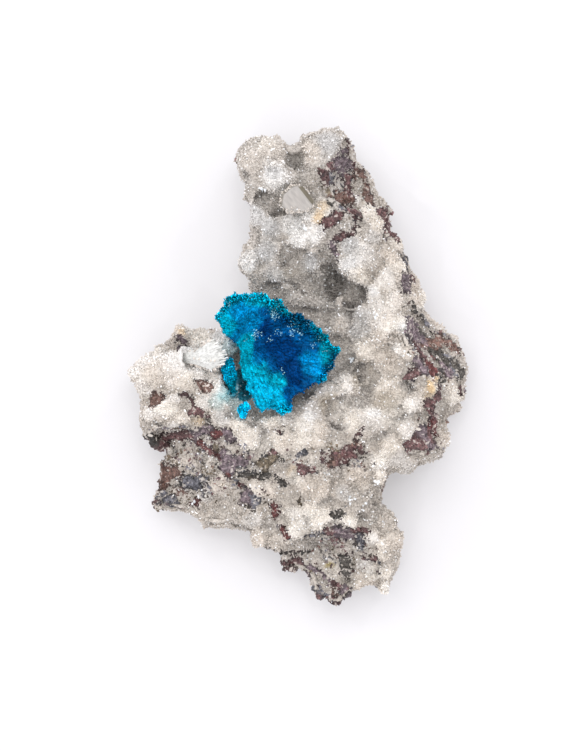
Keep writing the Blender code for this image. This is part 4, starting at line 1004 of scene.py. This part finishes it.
# %% [markdown]
# ## The rosette
#
# The rosette is a fan of thin blades that spread from one root low on its left side. Seen along the blades
# the blue is deep, nearly navy. On the flank, where they are seen from the side, it is bright turquoise, and
# along the rim bright tips stand over dark gaps. These blues are painted into the colour by zone, partly the
# mineral's own shades and partly painted light and shade from how the blades are seen; the bright tips carry
# a painted highlight and the gaps painted shade. A copy of the solid, with the gaps between its blades
# closed and then shrunk to a fifth of a millimetre inside it, is the imported heart. Fine blades grow from it
# away from the root.

# %% Zones of colour on the rosette
# These blues are partly the mineral's own and partly painted light and shade: bright where the blades are seen
# from the side, deep where seen along them.
BLUES = {
    "bright": "#00BAE2", "cyan": "#00ABC8", "azure": "#0082BA", "royal": "#004E86", "navy": "#003870",
    "teal": "#008CA4", "deep": "#00547A",
}
# x, y, radius and tone
ZONES = [
    (-11.9, 8.2, 1.4, "cyan"), (-11.2, 6.6, 1.4, "cyan"), (-10.3, 9.8, 1.3, "cyan"),
    (-8.8, 7.8, 1.4, "azure"), (-10.3, 6.0, 1.1, "cyan"), (-6.9, 10.2, 1.2, "cyan"), (-5.3, 9.8, 1.2, "cyan"),
    (-3.4, 9.0, 1.1, "teal"), (-2.1, 8.3, 0.9, "teal"), (-7.7, 6.6, 1.5, "azure"), (-6.6, 7.4, 1.3, "azure"),
    (-5.3, 7.6, 0.9, "royal"), (-4.8, 6.3, 0.9, "navy"), (-4.8, 5.0, 0.9, "navy"), (-3.4, 6.2, 1.1, "royal"),
    (-3.4, 7.6, 0.8, "deep"), (-2.1, 5.8, 1.2, "royal"), (-0.6, 6.4, 1.1, "deep"), (0.8, 5.8, 1.1, "deep"),
    (2.3, 5.9, 0.9, "teal"), (0.7, 4.2, 1.2, "royal"), (2.3, 4.2, 1.1, "deep"), (3.7, 4.3, 0.9, "teal"),
    (2.0, 3.0, 0.9, "royal"), (4.1, 2.8, 1.0, "teal"), (5.7, 2.3, 0.8, "teal"), (5.1, 1.2, 0.8, "deep"),
    (3.8, 1.2, 0.9, "teal"), (2.0, 1.1, 1.1, "azure"), (1.1, 0.1, 1.1, "azure"), (2.7, 0.0, 1.0, "azure"),
    (4.2, -0.5, 0.8, "deep"), (2.6, -1.3, 1.0, "azure"), (3.5, -1.9, 0.7, "teal"), (1.4, -2.3, 1.0, "royal"),
    (-0.6, -0.7, 1.5, "navy"), (-2.4, 0.4, 1.4, "navy"), (-2.0, 2.3, 1.5, "navy"), (-4.0, 3.0, 1.4, "navy"),
    (-5.8, 3.9, 0.9, "royal"), (-5.3, 1.6, 1.2, "royal"), (-6.1, 0.9, 0.8, "azure"),
    (-4.0, 0.1, 1.1, "royal"), (-7.6, 3.6, 0.8, "cyan"), (-8.9, 5.0, 1.0, "azure"), (-8.0, 2.0, 0.8, "cyan"),
    (-7.4, 0.1, 0.9, "cyan"), (-6.5, -0.9, 1.1, "cyan"), (-5.2, -0.5, 0.9, "cyan"),
    (-5.7, -2.5, 1.2, "bright"), (-3.8, -2.1, 1.0, "cyan"), (-4.6, -4.0, 1.4, "bright"),
    (-3.4, -5.3, 1.2, "bright"), (-5.3, -5.8, 0.7, "bright"), (-2.2, -6.6, 0.8, "cyan"),
    (-1.3, -3.9, 1.1, "royal"), (-0.8, -2.4, 1.0, "navy"), (-2.4, -2.4, 0.6, "cyan"),
    (-1.6, -5.8, 0.7, "azure"),
]
# x and y of both ends, and half width: bands of separate tips, painted bright over gaps painted dark as shade
TIP_BANDS = [
    (-12.6, 7.6, -10.2, 10.2, 1.1), (-10.2, 10.2, -5.8, 10.6, 1.2), (-5.8, 10.6, -2.0, 8.6, 1.4),
    (-1.4, 7.4, 3.2, 5.2, 1.5), (3.2, 5.2, 6.0, 2.2, 1.2), (5.6, 1.4, 3.6, -2.0, 0.9),
    (-2.6, -6.4, -1.2, -6.0, 0.7),
]
FAN_ROOT = (-7.15, 2.54, 14.0)  # mm, where the blades start
print(len(ZONES), "zones of blue,", len(TIP_BANDS), "bands of tips")


def colour_zones(piece, zones):
    """Blends the zones' blues over the piece by distance, seen from above."""
    places, _ = points_of(piece)
    total, weight_sum = np.zeros((len(places), 4)), np.full(len(places), 1e-9)
    ragged = places[:, :2] + np.stack([noise_at(places, 1.3), noise_at(places, 1.3, 30.0)], axis=1) * 0.5
    for zone_x, zone_y, radius, name in zones:
        square = (ragged[:, 0] - zone_x) ** 2 + (ragged[:, 1] - zone_y) ** 2
        weight = np.exp(-square / radius**2 * 2.2) + 1e-6 / (1 + square)
        total += weight[:, None] * np.array(linear(BLUES[name]))
        weight_sum += weight
    write_attributes(piece, tint=total / weight_sum[:, None])


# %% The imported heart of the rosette
# x past which an outermost blade is too blunt, and the side it lies on
BLUNT_ENDS = [(5.2, 1), (-11.6, -1)]
heart = copy_of("cavansite_rosette", "cavansite_heart")
for voxel, outwards in ((0.22, 0.7), (0.2, -0.9)):  # mm, the gaps close, and then the whole shrinks
    even_skin(heart, voxel)
    displace(heart, "close and shrink", outwards)
    apply_all(heart)
for end_x, side in BLUNT_ENDS:
    pick_points(heart, lambda place: side * (place.x / MM - end_x) > 0)
    bpy.ops.transform.resize(value=(0.45, 1, 1), center_override=(end_x * MM, 0, 0))
    bpy.ops.object.mode_set(mode="OBJECT")
colour_zones(heart, ZONES)
heart_points, facing = points_of(heart)
tip_wobble = 0.3 * noise_at(heart_points, 0.8)
tips = np.max([
    smooth_step(half_width * 1.3, half_width * 0.5, along_stroke(heart_points, x1, y1, x2, y2) + tip_wobble)
    for x1, y1, x2, y2, half_width in TIP_BANDS
], axis=0)
# the height drives painted shade: it is low under the separate tips
write_attributes(
    heart, tips=tips, height=1 - 0.5 * tips, blades=smooth_step(-0.5, 0.1, facing[:, 2]) * (0.1 + 0.9 * tips)
)
print("heart:", len(heart_points), "points, separate tips on", round(100 * tips.mean()), "% of it")

# %% Model the blade
blade_set = mould_set("blades")
blade = grain("blade", 3, 0.8, 0.75, POINTED, blade_set)
print("faces a blade:", len(blade.data.polygons))

# %% [markdown]
# ## Finish of the cavansite
#
# Cavansite is vitreous to pearly and strongly blue. The fibres are finer than any mesh: a noise read from the
# direction towards the root, instead of from the place, is stretched into streaks that run out like the
# fibres do. The same streaks drive the bump. Its index of refraction is about 1.54, but little of that sheen
# is left between so many tips, so the specular level is kept low.

# %% Cavansite
STREAK_ROOT = (-8.8, 3.8, 14.0)  # mm, where the streaks start
FIBRE_ANGLE = 1 / 26  # radians between bundles of fibres, 0.35 mm at the rim; finer ones come with the detail
cavansite, tree, shader = new_material(
    "cavansite, vitreous", {"Roughness": 0.3, "IOR": 1.54, "Specular IOR Level": 0.03}
)
place = add_node(tree, "ShaderNodeTexCoord").outputs["Object"]
streak_root = [side * MM for side in STREAK_ROOT]
away = add_node(tree, "ShaderNodeVectorMath", {0: place, 1: streak_root}, operation="SUBTRACT").outputs[0]
away = add_node(tree, "ShaderNodeVectorMath", {0: away, 1: (1, 1, 0.25)}, operation="MULTIPLY").outputs[0]
away = add_node(tree, "ShaderNodeVectorMath", {0: away}, operation="NORMALIZE").outputs[0]
streaks = add_node(tree, "ShaderNodeTexNoise", {"Vector": away, "Scale": 1 / FIBRE_ANGLE, "Detail": 4.0})
streak = add_node(tree, "ShaderNodeMapRange", {
    "Value": streaks.outputs["Fac"], "From Min": 0.3, "From Max": 0.7, "To Min": 0.45, "To Max": 1.6,
}).outputs[0]
folds = add_node(tree, "ShaderNodeTexNoise", {"Vector": away, "Scale": 5.0, "Detail": 1.0})
fold = add_node(tree, "ShaderNodeMapRange", {
    "Value": folds.outputs["Fac"], "From Min": 0.35, "From Max": 0.65, "To Min": 0.88, "To Max": 1.35,
}).outputs[0]
grit = speckle_of(tree, place, 0.3, 0.38, 0.62, 0.6, 1.4)
tint = add_node(tree, "ShaderNodeAttribute", attribute_name="tint").outputs["Color"]
height, lot, parted = (
    add_node(tree, "ShaderNodeAttribute", attribute_name=name).outputs["Fac"]
    for name in ("height", "lot", "tips")
)
# painted shade in the gaps between separate tips, and a painted highlight on the tips
darkest = add_node(tree, "ShaderNodeMapRange", {"Value": parted, "To Min": 0.75, "To Max": 0.2}).outputs[0]
lightest = add_node(tree, "ShaderNodeMapRange", {"Value": parted, "To Min": 1.3, "To Max": 2.2}).outputs[0]
varied = add_node(
    tree, "ShaderNodeMapRange", {"Value": lot, "To Min": darkest, "To Max": lightest}
).outputs[0]
# painted shade: darker towards the roots of the blades
level = add_node(tree, "ShaderNodeMapRange", {
    "Value": height, "From Min": 0.3, "From Max": 0.9, "To Min": 0.5, "To Max": 1.1,
}).outputs[0]
for factor in (varied, streak, fold, grit):
    level = add_node(tree, "ShaderNodeMath", {0: level, 1: factor}, operation="MULTIPLY").outputs[0]
blue = add_node(tree, "ShaderNodeVectorMath", {0: tint, "Scale": level}, operation="SCALE").outputs[0]
bumps = add_node(tree, "ShaderNodeBump", {"Height": streak, "Strength": 0.8, "Distance": 0.25 * MM})
tree.links.new(blue, shader.inputs["Base Color"])
tree.links.new(bumps.outputs[0], shader.inputs["Normal"])

# %% Grow the rosette's blades
fans = sow(
    heart, "cavansite_blades", blade_set, density=30.0, width=(0.12, 0.26), length=(0.2, 0.5), tilt=16,
    weight="blades", root=FAN_ROOT, lift=0.5, seed=71,
)
for piece in (heart, fans):
    settle(piece, cavansite, "cavansite_rosette")
select_only(heart)
bpy.ops.object.shade_smooth()

# %% [markdown]
# ## Side spray and chip
#
# Two smaller bits of the same mineral lie in the druse on the left: a spray whose blades fan out downwards,
# its lower part painted teal as the shade of the rosette, and a ragged chip of the brightest turquoise. They
# get blades in the same way.

# %% Side spray and chip
# the root of each one's blades, and its zones of blue
SMALL_ONES = {
    # the spray's teal zone is painted shade from the rosette
    "cavansite_side_spray": ((-9.65, -3.46, 12.6), [(-9.7, 0.2, 1.9, "bright"), (-8.7, -3.4, 1.4, "teal")]),
    "cavansite_chip": ((-8.35, -6.66, 17.6), [(-8.3, -6.7, 3.0, "bright")]),
}
for node, (root, zones) in SMALL_ONES.items():
    small = copy_of(node, node + "_heart")
    even_skin(small, voxel=0.14)
    displace(small, "fill the gap round it", outwards=0.15)
    apply_all(small)
    colour_zones(small, zones)
    all_over = np.ones(len(small.data.vertices))
    write_attributes(small, tips=all_over * 0.3, height=all_over * 0.8, blades=all_over)
    hair = sow(
        small, node + "_blades", blade_set, density=14.0, width=(0.14, 0.28), length=(0.15, 0.4), tilt=14,
        weight="blades", root=root, lift=0.5, seed=91,
    )
    for piece in (small, hair):
        settle(piece, cavansite, node)

# %% [markdown]
# ## Sparks
#
# A few larger zeolite crystals catch the light as white sparks, some half a millimetre wide; they are also
# painted near white, a painted highlight. Dust-fine ones sit in clusters along the rosette's crest, so clear
# that the blue shines through them, and that blue is painted into their colour as pale cyan. They are sown
# with the same group, each kind only within small ovals.

# %% Zeolite dust on the rosette
# x, y and radius of each cluster
DUST = [
    (-3.7, 7.5, 0.9), (-0.8, 6.4, 0.9), (-1.2, 4.8, 0.8), (0.2, 4.7, 0.5), (-6.3, 4.5, 0.8), (-3.0, 4.7, 0.6),
    (-4.2, 3.8, 0.4), (2.0, 3.0, 0.5), (3.0, 3.8, 0.5), (-2.4, -0.7, 0.4), (4.7, -0.3, 0.4), (1.4, 6.2, 0.6),
    (-11.5, 8.0, 0.7), (-6.9, 10.0, 0.5), (-3.0, 9.0, 0.5), (-7.7, 4.0, 0.4), (3.6, 2.2, 0.5),
    (-10.4, 9.2, 0.5),
]
# painted light: pale cyan for the blue seen through the dust, and near white as a painted highlight on the
# sparks
GLINTS = {"zeolite dust, glassy": "#B6F2FF", "zeolite sparks, glassy": "#F6FBFF"}
glints = {}
for name, brightest in GLINTS.items():
    glints[name], tree, shader = new_material(name, {"Roughness": 0.1, "IOR": 1.5})
    lot = add_node(tree, "ShaderNodeAttribute", attribute_name="lot").outputs["Fac"]
    ground = add_node(tree, "ShaderNodeAttribute", attribute_name="tint").outputs["Color"]
    veiled = add_node(tree, "ShaderNodeMapRange", {"Value": lot, "To Min": 0.75, "To Max": 1.0}).outputs[0]
    cold = add_node(
        tree, "ShaderNodeMix", {"Factor": veiled, 6: ground, 7: linear(brightest)}, data_type="RGBA"
    ).outputs[2]
    tree.links.new(cold, shader.inputs["Base Color"])

write_attributes(heart, dust=ovals(heart_points, DUST) * (facing[:, 2] > 0))
dust = sow(
    heart, "zeolite_dust", grain_set, density=16.0, width=(0.06, 0.14), length=(0.12, 0.26), tilt=60,
    weight="dust", seed=33,
)
settle(dust, glints["zeolite dust, glassy"])

# %% Sparks on the druse
# x, y and radius of each group
SPARKS = [
    (7.7, -19.9, 0.7), (6.9, -18.6, 0.6), (12.9, -22.6, 0.7), (11.4, -17.5, 0.7), (9.8, -21.1, 0.6),
    (3.5, -16.9, 0.6), (3.9, 5.4, 0.6), (-16.0, -20.2, 0.6), (11.6, -14.9, 1.0), (10.6, 7.6, 0.7),
    (6.6, 1.2, 0.6), (-9.6, -0.2, 0.6), (-10.6, 3.2, 0.9), (15.1, 1.6, 0.5), (-5.7, 25.8, 0.5),
    (1.2, 20.4, 0.9),
]
write_attributes(rock, sparks=ovals(points, SPARKS) * top)
sparks = sow(
    rock, "zeolite_sparks", grain_set, density=3.0, width=(0.3, 0.55), length=(0.4, 0.7), tilt=55,
    weight="sparks", seed=44,
)
settle(sparks, glints["zeolite sparks, glassy"])

# %% [markdown]
# ## Stilbite sheaf
#
# Stilbite crystallizes in sheaves: bundles of fibres pinched at the middle like a bow tie. Half of one shows
# beside the rosette, silky white. The fibres are the same blades, long and thin, grown from the solid away
# from the sheaf's root. Druse grows up its steep sides, and its root end is bent down into the crust.

# %% Stilbite
LENGTHWISE = 0.35  # radians, the fibres run up to the right
stilbite, tree, shader = new_material("stilbite, pearly", {"Roughness": 0.35, "IOR": 1.5})
place = add_node(tree, "ShaderNodeTexCoord").outputs["Object"]
combed = add_node(
    tree, "ShaderNodeMapping", {"Vector": place, "Rotation": (0, 0, LENGTHWISE), "Scale": (8, 1, 1)},
    vector_type="TEXTURE",
).outputs[0]
comb = speckle_of(tree, combed, 0.25, 0.35, 0.65, 0.72, 1.05)
lot, height = (
    add_node(tree, "ShaderNodeAttribute", attribute_name=name).outputs["Fac"] for name in ("lot", "height")
)
varied = add_node(tree, "ShaderNodeMapRange", {"Value": lot, "To Min": 0.82, "To Max": 1.0}).outputs[0]
# painted shade: each fibre is a little darker towards its root
rooted = add_node(tree, "ShaderNodeMapRange", {"Value": height, "To Min": 0.85, "To Max": 1.0}).outputs[0]
for factor in (rooted, comb):
    varied = add_node(tree, "ShaderNodeMath", {0: varied, 1: factor}, operation="MULTIPLY").outputs[0]
warm = add_node(tree, "ShaderNodeMath", {0: varied, 1: 0.96}, operation="MULTIPLY").outputs[0]
white = add_node(tree, "ShaderNodeCombineColor", {0: varied, 1: varied, 2: warm}).outputs[0]
bumps = add_node(tree, "ShaderNodeBump", {"Height": comb, "Strength": 0.7, "Distance": 0.2 * MM})
tree.links.new(white, shader.inputs["Base Color"])
tree.links.new(bumps.outputs[0], shader.inputs["Normal"])

# %% Shape the sheaf
SHEAF_ROOT = (-31.0, -4.5, 18.5)  # mm, the fibres point away from here
ROOT_END = -15.6  # mm, what lies left of this is the root end
BENT_BY = (-1.9, 0.2, -1.6)  # mm
sheaf = copy_of("stilbite_sheaf", "stilbite_bundle")
even_skin(sheaf, voxel=0.16)
displace(sheaf, "shrink the bundle", outwards=-0.2)
apply_all(sheaf)
pick_points(sheaf, lambda place: place.x / MM < ROOT_END)
bpy.ops.transform.translate(value=[shift * MM for shift in BENT_BY])
bpy.ops.object.mode_set(mode="OBJECT")


def druse_bed(piece, low, high):
    """Gives a piece the shade and tint of beige druse. Returns 1 on its steep parts, between two cosines."""
    _, slopes = points_of(piece)
    count = len(slopes)
    write_attributes(piece, shade=np.full(count, 0.05), tint=np.tile(tones["beige"], (count, 1)))
    return smooth_step(high, low, slopes[:, 2])


steep = druse_bed(sheaf, 0.2, 0.6)
places, _ = points_of(sheaf)
without = np.maximum(steep, smooth_step(-15.5, -17.5, places[:, 0]))  # no fibres on the root end either
write_attributes(sheaf, druse=steep, fibres=1 - without, lot=np.full(len(steep), 0.3))
skirt = sow(
    sheaf, "druse_on_stilbite", grain_set, density=12.0, width=(0.2, 0.36), length=(0.25, 0.6), tilt=40,
    weight="druse", seed=62,
)
settle(skirt, druse)
silks = sow(
    sheaf, "stilbite_fibres", blade_set, density=24.0, width=(0.12, 0.22), length=(0.6, 1.1), tilt=6,
    weight="fibres", root=SHEAF_ROOT, lift=0.12, seed=61,
)
for piece in (sheaf, silks):
    settle(piece, stilbite, "stilbite_sheaf")

# %% [markdown]
# ## Heulandite crystal
#
# One blocky crystal stands clear of the turf at the upper end. Seen from above its face has seven corners. It
# is modelled from a seven-sided prism: each corner is moved to its place, the edge on the right is bevelled
# to a slanting facet, the face is inset twice for a bright rim, and the whole is tilted a little. It is
# colourless with a frosted skin, so it looks grey-beige on the face and bright at the edges. The slanting
# facet is painted olive for the dark rock that shows through it and is reflected in it, a painted reflection.

# %% Model the heulandite crystal
# x and y of the corners of the face, in mm and counter-clockwise
CORNERS = [
    (2.4, 24.1), (0.6, 26.4), (-0.8, 26.3), (-2.3, 25.1), (-2.5, 23.5), (-1.5, 22.5), (1.5, 22.8),
]
FACE_HEIGHT = 21.5  # mm above the floor
PRISM = 2.6  # mm, most of it buried in the druse
middle_x, middle_y = np.mean(CORNERS, axis=0)
bpy.ops.object.select_all(action="DESELECT")
bpy.ops.mesh.primitive_cylinder_add(
    vertices=len(CORNERS), radius=2.0 * MM, depth=PRISM * MM,
    location=(middle_x * MM, middle_y * MM, (FACE_HEIGHT - PRISM / 2) * MM),
)
tablet = bpy.context.active_object
tablet.name = "heulandite_prism"
bpy.ops.object.transform_apply(location=True, rotation=True, scale=True)


def turned_by(place_x, place_y):
    return math.atan2(place_y - middle_y, place_x - middle_x)


columns = sorted(
    {(round(vertex.co.x / MM, 4), round(vertex.co.y / MM, 4)) for vertex in tablet.data.vertices},
    key=lambda column: turned_by(*column),
)
for column, corner in zip(columns, sorted(CORNERS, key=lambda corner: turned_by(*corner))):
    pick_points(tablet, lambda place: math.hypot(place.x / MM - column[0], place.y / MM - column[1]) < 0.01)
    bpy.ops.transform.translate(value=((corner[0] - column[0]) * MM, (corner[1] - column[1]) * MM, 0))
    bpy.ops.object.mode_set(mode="OBJECT")


def on_face(place):
    return place.z / MM > FACE_HEIGHT - 0.01


def inset(steps):
    """Insets the chosen faces step by step, each by a width and a rise in millimetres."""
    for width, rise in steps:
        bpy.ops.mesh.inset(thickness=width * MM, depth=rise * MM)
    bpy.ops.object.mode_set(mode="OBJECT")


BEVEL = 0.7  # mm
TILTS = [(-9, "Y"), (-8, "X")]  # degrees
# the edge on the right, and then the facet that it turns into
pick_points(tablet, lambda place: on_face(place) and place.x / MM > 0.6 and place.y / MM > 24)
bpy.ops.mesh.bevel(offset=BEVEL * MM, affect="EDGES")
bpy.ops.object.mode_set(mode="OBJECT")
pick_points(tablet, lambda place: place.z / MM > FACE_HEIGHT - 0.8 and (place.x + place.y) / MM > 25.3)
inset([(0.1, 0), (0.08, 0)])
pick_points(tablet, on_face)
inset([(0.1, 0.04), (0.16, 0)])
height = np.array([vertex.co.z for vertex in tablet.data.vertices]) / MM - FACE_HEIGHT
cloud_and_painted_reflection = np.tile(linear("#E4DFD7"), (len(height), 1))
cloud_and_painted_reflection[height < -2] = linear("#8F8775")  # the buried end
cloud_and_painted_reflection[(height < -0.06) & (height > -0.66)] = linear("#968D7A")  # the slanting facet, painted olive for the dark rock seen through and reflected in it
cloud_and_painted_reflection[height > 0.03] = linear("#E0DAD4")  # the face inside its bright rim
write_attributes(tablet, tint=cloud_and_painted_reflection)
pick_points(tablet, lambda place: True)
face_middle = (middle_x * MM, middle_y * MM, FACE_HEIGHT * MM)
for angle, axis in TILTS:
    bpy.ops.transform.rotate(value=math.radians(angle), orient_axis=axis, center_override=face_middle)
bpy.ops.object.mode_set(mode="OBJECT")
around = np.hypot(points[:, 0] - middle_x, points[:, 1] - middle_y)
print("tablet:", len(tablet.data.polygons), "faces; the rock 3 mm off its middle is",
      points[(around > 2.6) & (around < 3.2), 2].round(1).max(), "mm high")

# %% Heulandite
CLEAVAGE = -0.91  # radians, streaks run along the edge beside the slanting facet
heulandite, tree, shader = new_material(
    "heulandite, frosted glassy", {"IOR": 1.5, "Transmission Weight": 0.5}
)
place = add_node(tree, "ShaderNodeTexCoord").outputs["Object"]
tint = add_node(tree, "ShaderNodeAttribute", attribute_name="tint").outputs["Color"]
combed = add_node(
    tree, "ShaderNodeMapping", {"Vector": place, "Rotation": (0, 0, CLEAVAGE), "Scale": (7, 1, 1)},
    vector_type="TEXTURE",
).outputs[0]
cloud = speckle_of(tree, combed, 0.4, 0.35, 0.65, 0.82, 1.08)
milk = add_node(tree, "ShaderNodeVectorMath", {0: tint, "Scale": cloud}, operation="SCALE").outputs[0]
frost = speckle_of(tree, place, 0.35, 0.35, 0.65, 0.28, 0.5)
bumps = add_node(tree, "ShaderNodeBump", {"Height": frost, "Strength": 0.35, "Distance": 0.1 * MM})
tree.links.new(milk, shader.inputs["Base Color"])
tree.links.new(frost, shader.inputs["Roughness"])
tree.links.new(bumps.outputs[0], shader.inputs["Normal"])
settle(tablet, heulandite, "heulandite_crystal")

# %% Druse that overgrows the crystal
overgrown = duplicate(tablet, "overgrown_crystal")
even_skin(overgrown, voxel=0.2)
places, _ = points_of(overgrown)
lowered = smooth_step(FACE_HEIGHT - 0.1, FACE_HEIGHT - 0.5, places[:, 2])
steep = druse_bed(overgrown, 0.1, 0.7)
write_attributes(overgrown, crowding=np.maximum(0.3 * steep * lowered, smooth_step(23.6, 22.7, places[:, 1])))
skirt = sow(
    overgrown, "druse_on_heulandite", grain_set, density=12.0, width=(0.16, 0.3), length=(0.2, 0.4), tilt=40,
    weight="crowding", seed=63,
)
settle(skirt, druse)
bpy.data.objects.remove(overgrown)

# %% Put the moulds away
for collection in (grain_set, splinter_set, blade_set):
    for piece in list(collection.objects):
        bpy.data.objects.remove(piece)
    print(collection.name, "put away")

# %% [markdown]
# ## The studio
#
# The specimen lies on its back on white paper and is seen from straight above, through a long lens that keeps
# its outline free of perspective. The paper is given a faint glow of its own, a painted light, as on a light
# table, which lifts the shadows. The surroundings are bright all round, so the floor only darkens close to the
# stone, and one large soft light hangs above, a little towards the far end.

# %% Floor
FLOOR = 2.4  # m across, far past the edge of the picture
bpy.ops.object.select_all(action="DESELECT")
bpy.ops.mesh.primitive_plane_add(size=FLOOR, location=(0, 0, 0))
floor = bpy.context.active_object
floor.name = "studio_floor"
# painted light: the paper glows a little to lift the shadows round the stone
paper, _, _ = new_material("white paper, matt", {
    "Base Color": linear("#C6C5C7"), "Emission Color": linear("#FFFFFF"), "Emission Strength": 0.24,
    "Roughness": 1.0, "Specular IOR Level": 0.0,
})
floor.data.materials.append(paper)
print("floor:", FLOOR, "m across")

# %% World and lights
world = bpy.data.worlds.new("studio")
bpy.context.scene.world = world
world.use_nodes = True
surroundings = world.node_tree.nodes["Background"]
surroundings.inputs["Color"].default_value = linear("#FBFAFE")
surroundings.inputs["Strength"].default_value = 1.1
# where each lamp hangs and what it is aimed at, in mm, its width in mm and its power in watts
LAMPS = {
    "overhead": ((-60, 150, 560), (0, 0, 10), 360, 1.3),
    "sparkle lamp 1": ((-300, 260, 380), (0, 0, 15), 10, 0.15),
    "sparkle lamp 2": ((220, 330, 420), (0, 0, 15), 10, 0.13),
    "sparkle lamp 3": ((-120, -200, 520), (0, 0, 15), 10, 0.13),
    "sparkle lamp 4": ((60, 90, 600), (0, 0, 15), 10, 0.13),
}
for name, (place, aim, width, power) in LAMPS.items():
    lamp = bpy.data.lights.new(name, "AREA")
    lamp.shape = "SQUARE"
    lamp.size = width * MM
    lamp.energy = power
    light = bpy.data.objects.new(name, lamp)
    bpy.context.collection.objects.link(light)
    light.location = Vector(place) * MM
    light.rotation_euler = (Vector(aim) - Vector(place)).to_track_quat("-Z", "Y").to_euler()
print(len(LAMPS), "lamps")

# %% Camera
LENS = 150.0
SENSOR = 36.0
FRAME_LONG_SIDE = 112.5  # mm covered by the longer side of the picture at the reference height
REFERENCE_HEIGHT = 11.0
PICTURE_MIDDLE = (-2.62, -1.31)  # mm
distance = FRAME_LONG_SIDE * LENS / SENSOR
camera_data = bpy.data.cameras.new("above")
camera_data.lens = LENS
camera_data.sensor_width = SENSOR
camera_data.clip_start = 0.01
camera = bpy.data.objects.new("above", camera_data)
bpy.context.collection.objects.link(camera)
camera.location = Vector((*PICTURE_MIDDLE, REFERENCE_HEIGHT + distance)) * MM
bpy.context.scene.camera = camera
bpy.context.scene.view_settings.view_transform = "Standard"
print("camera", round(distance), "mm above the specimen")

# %% Finish
bpy.context.view_layer.update()
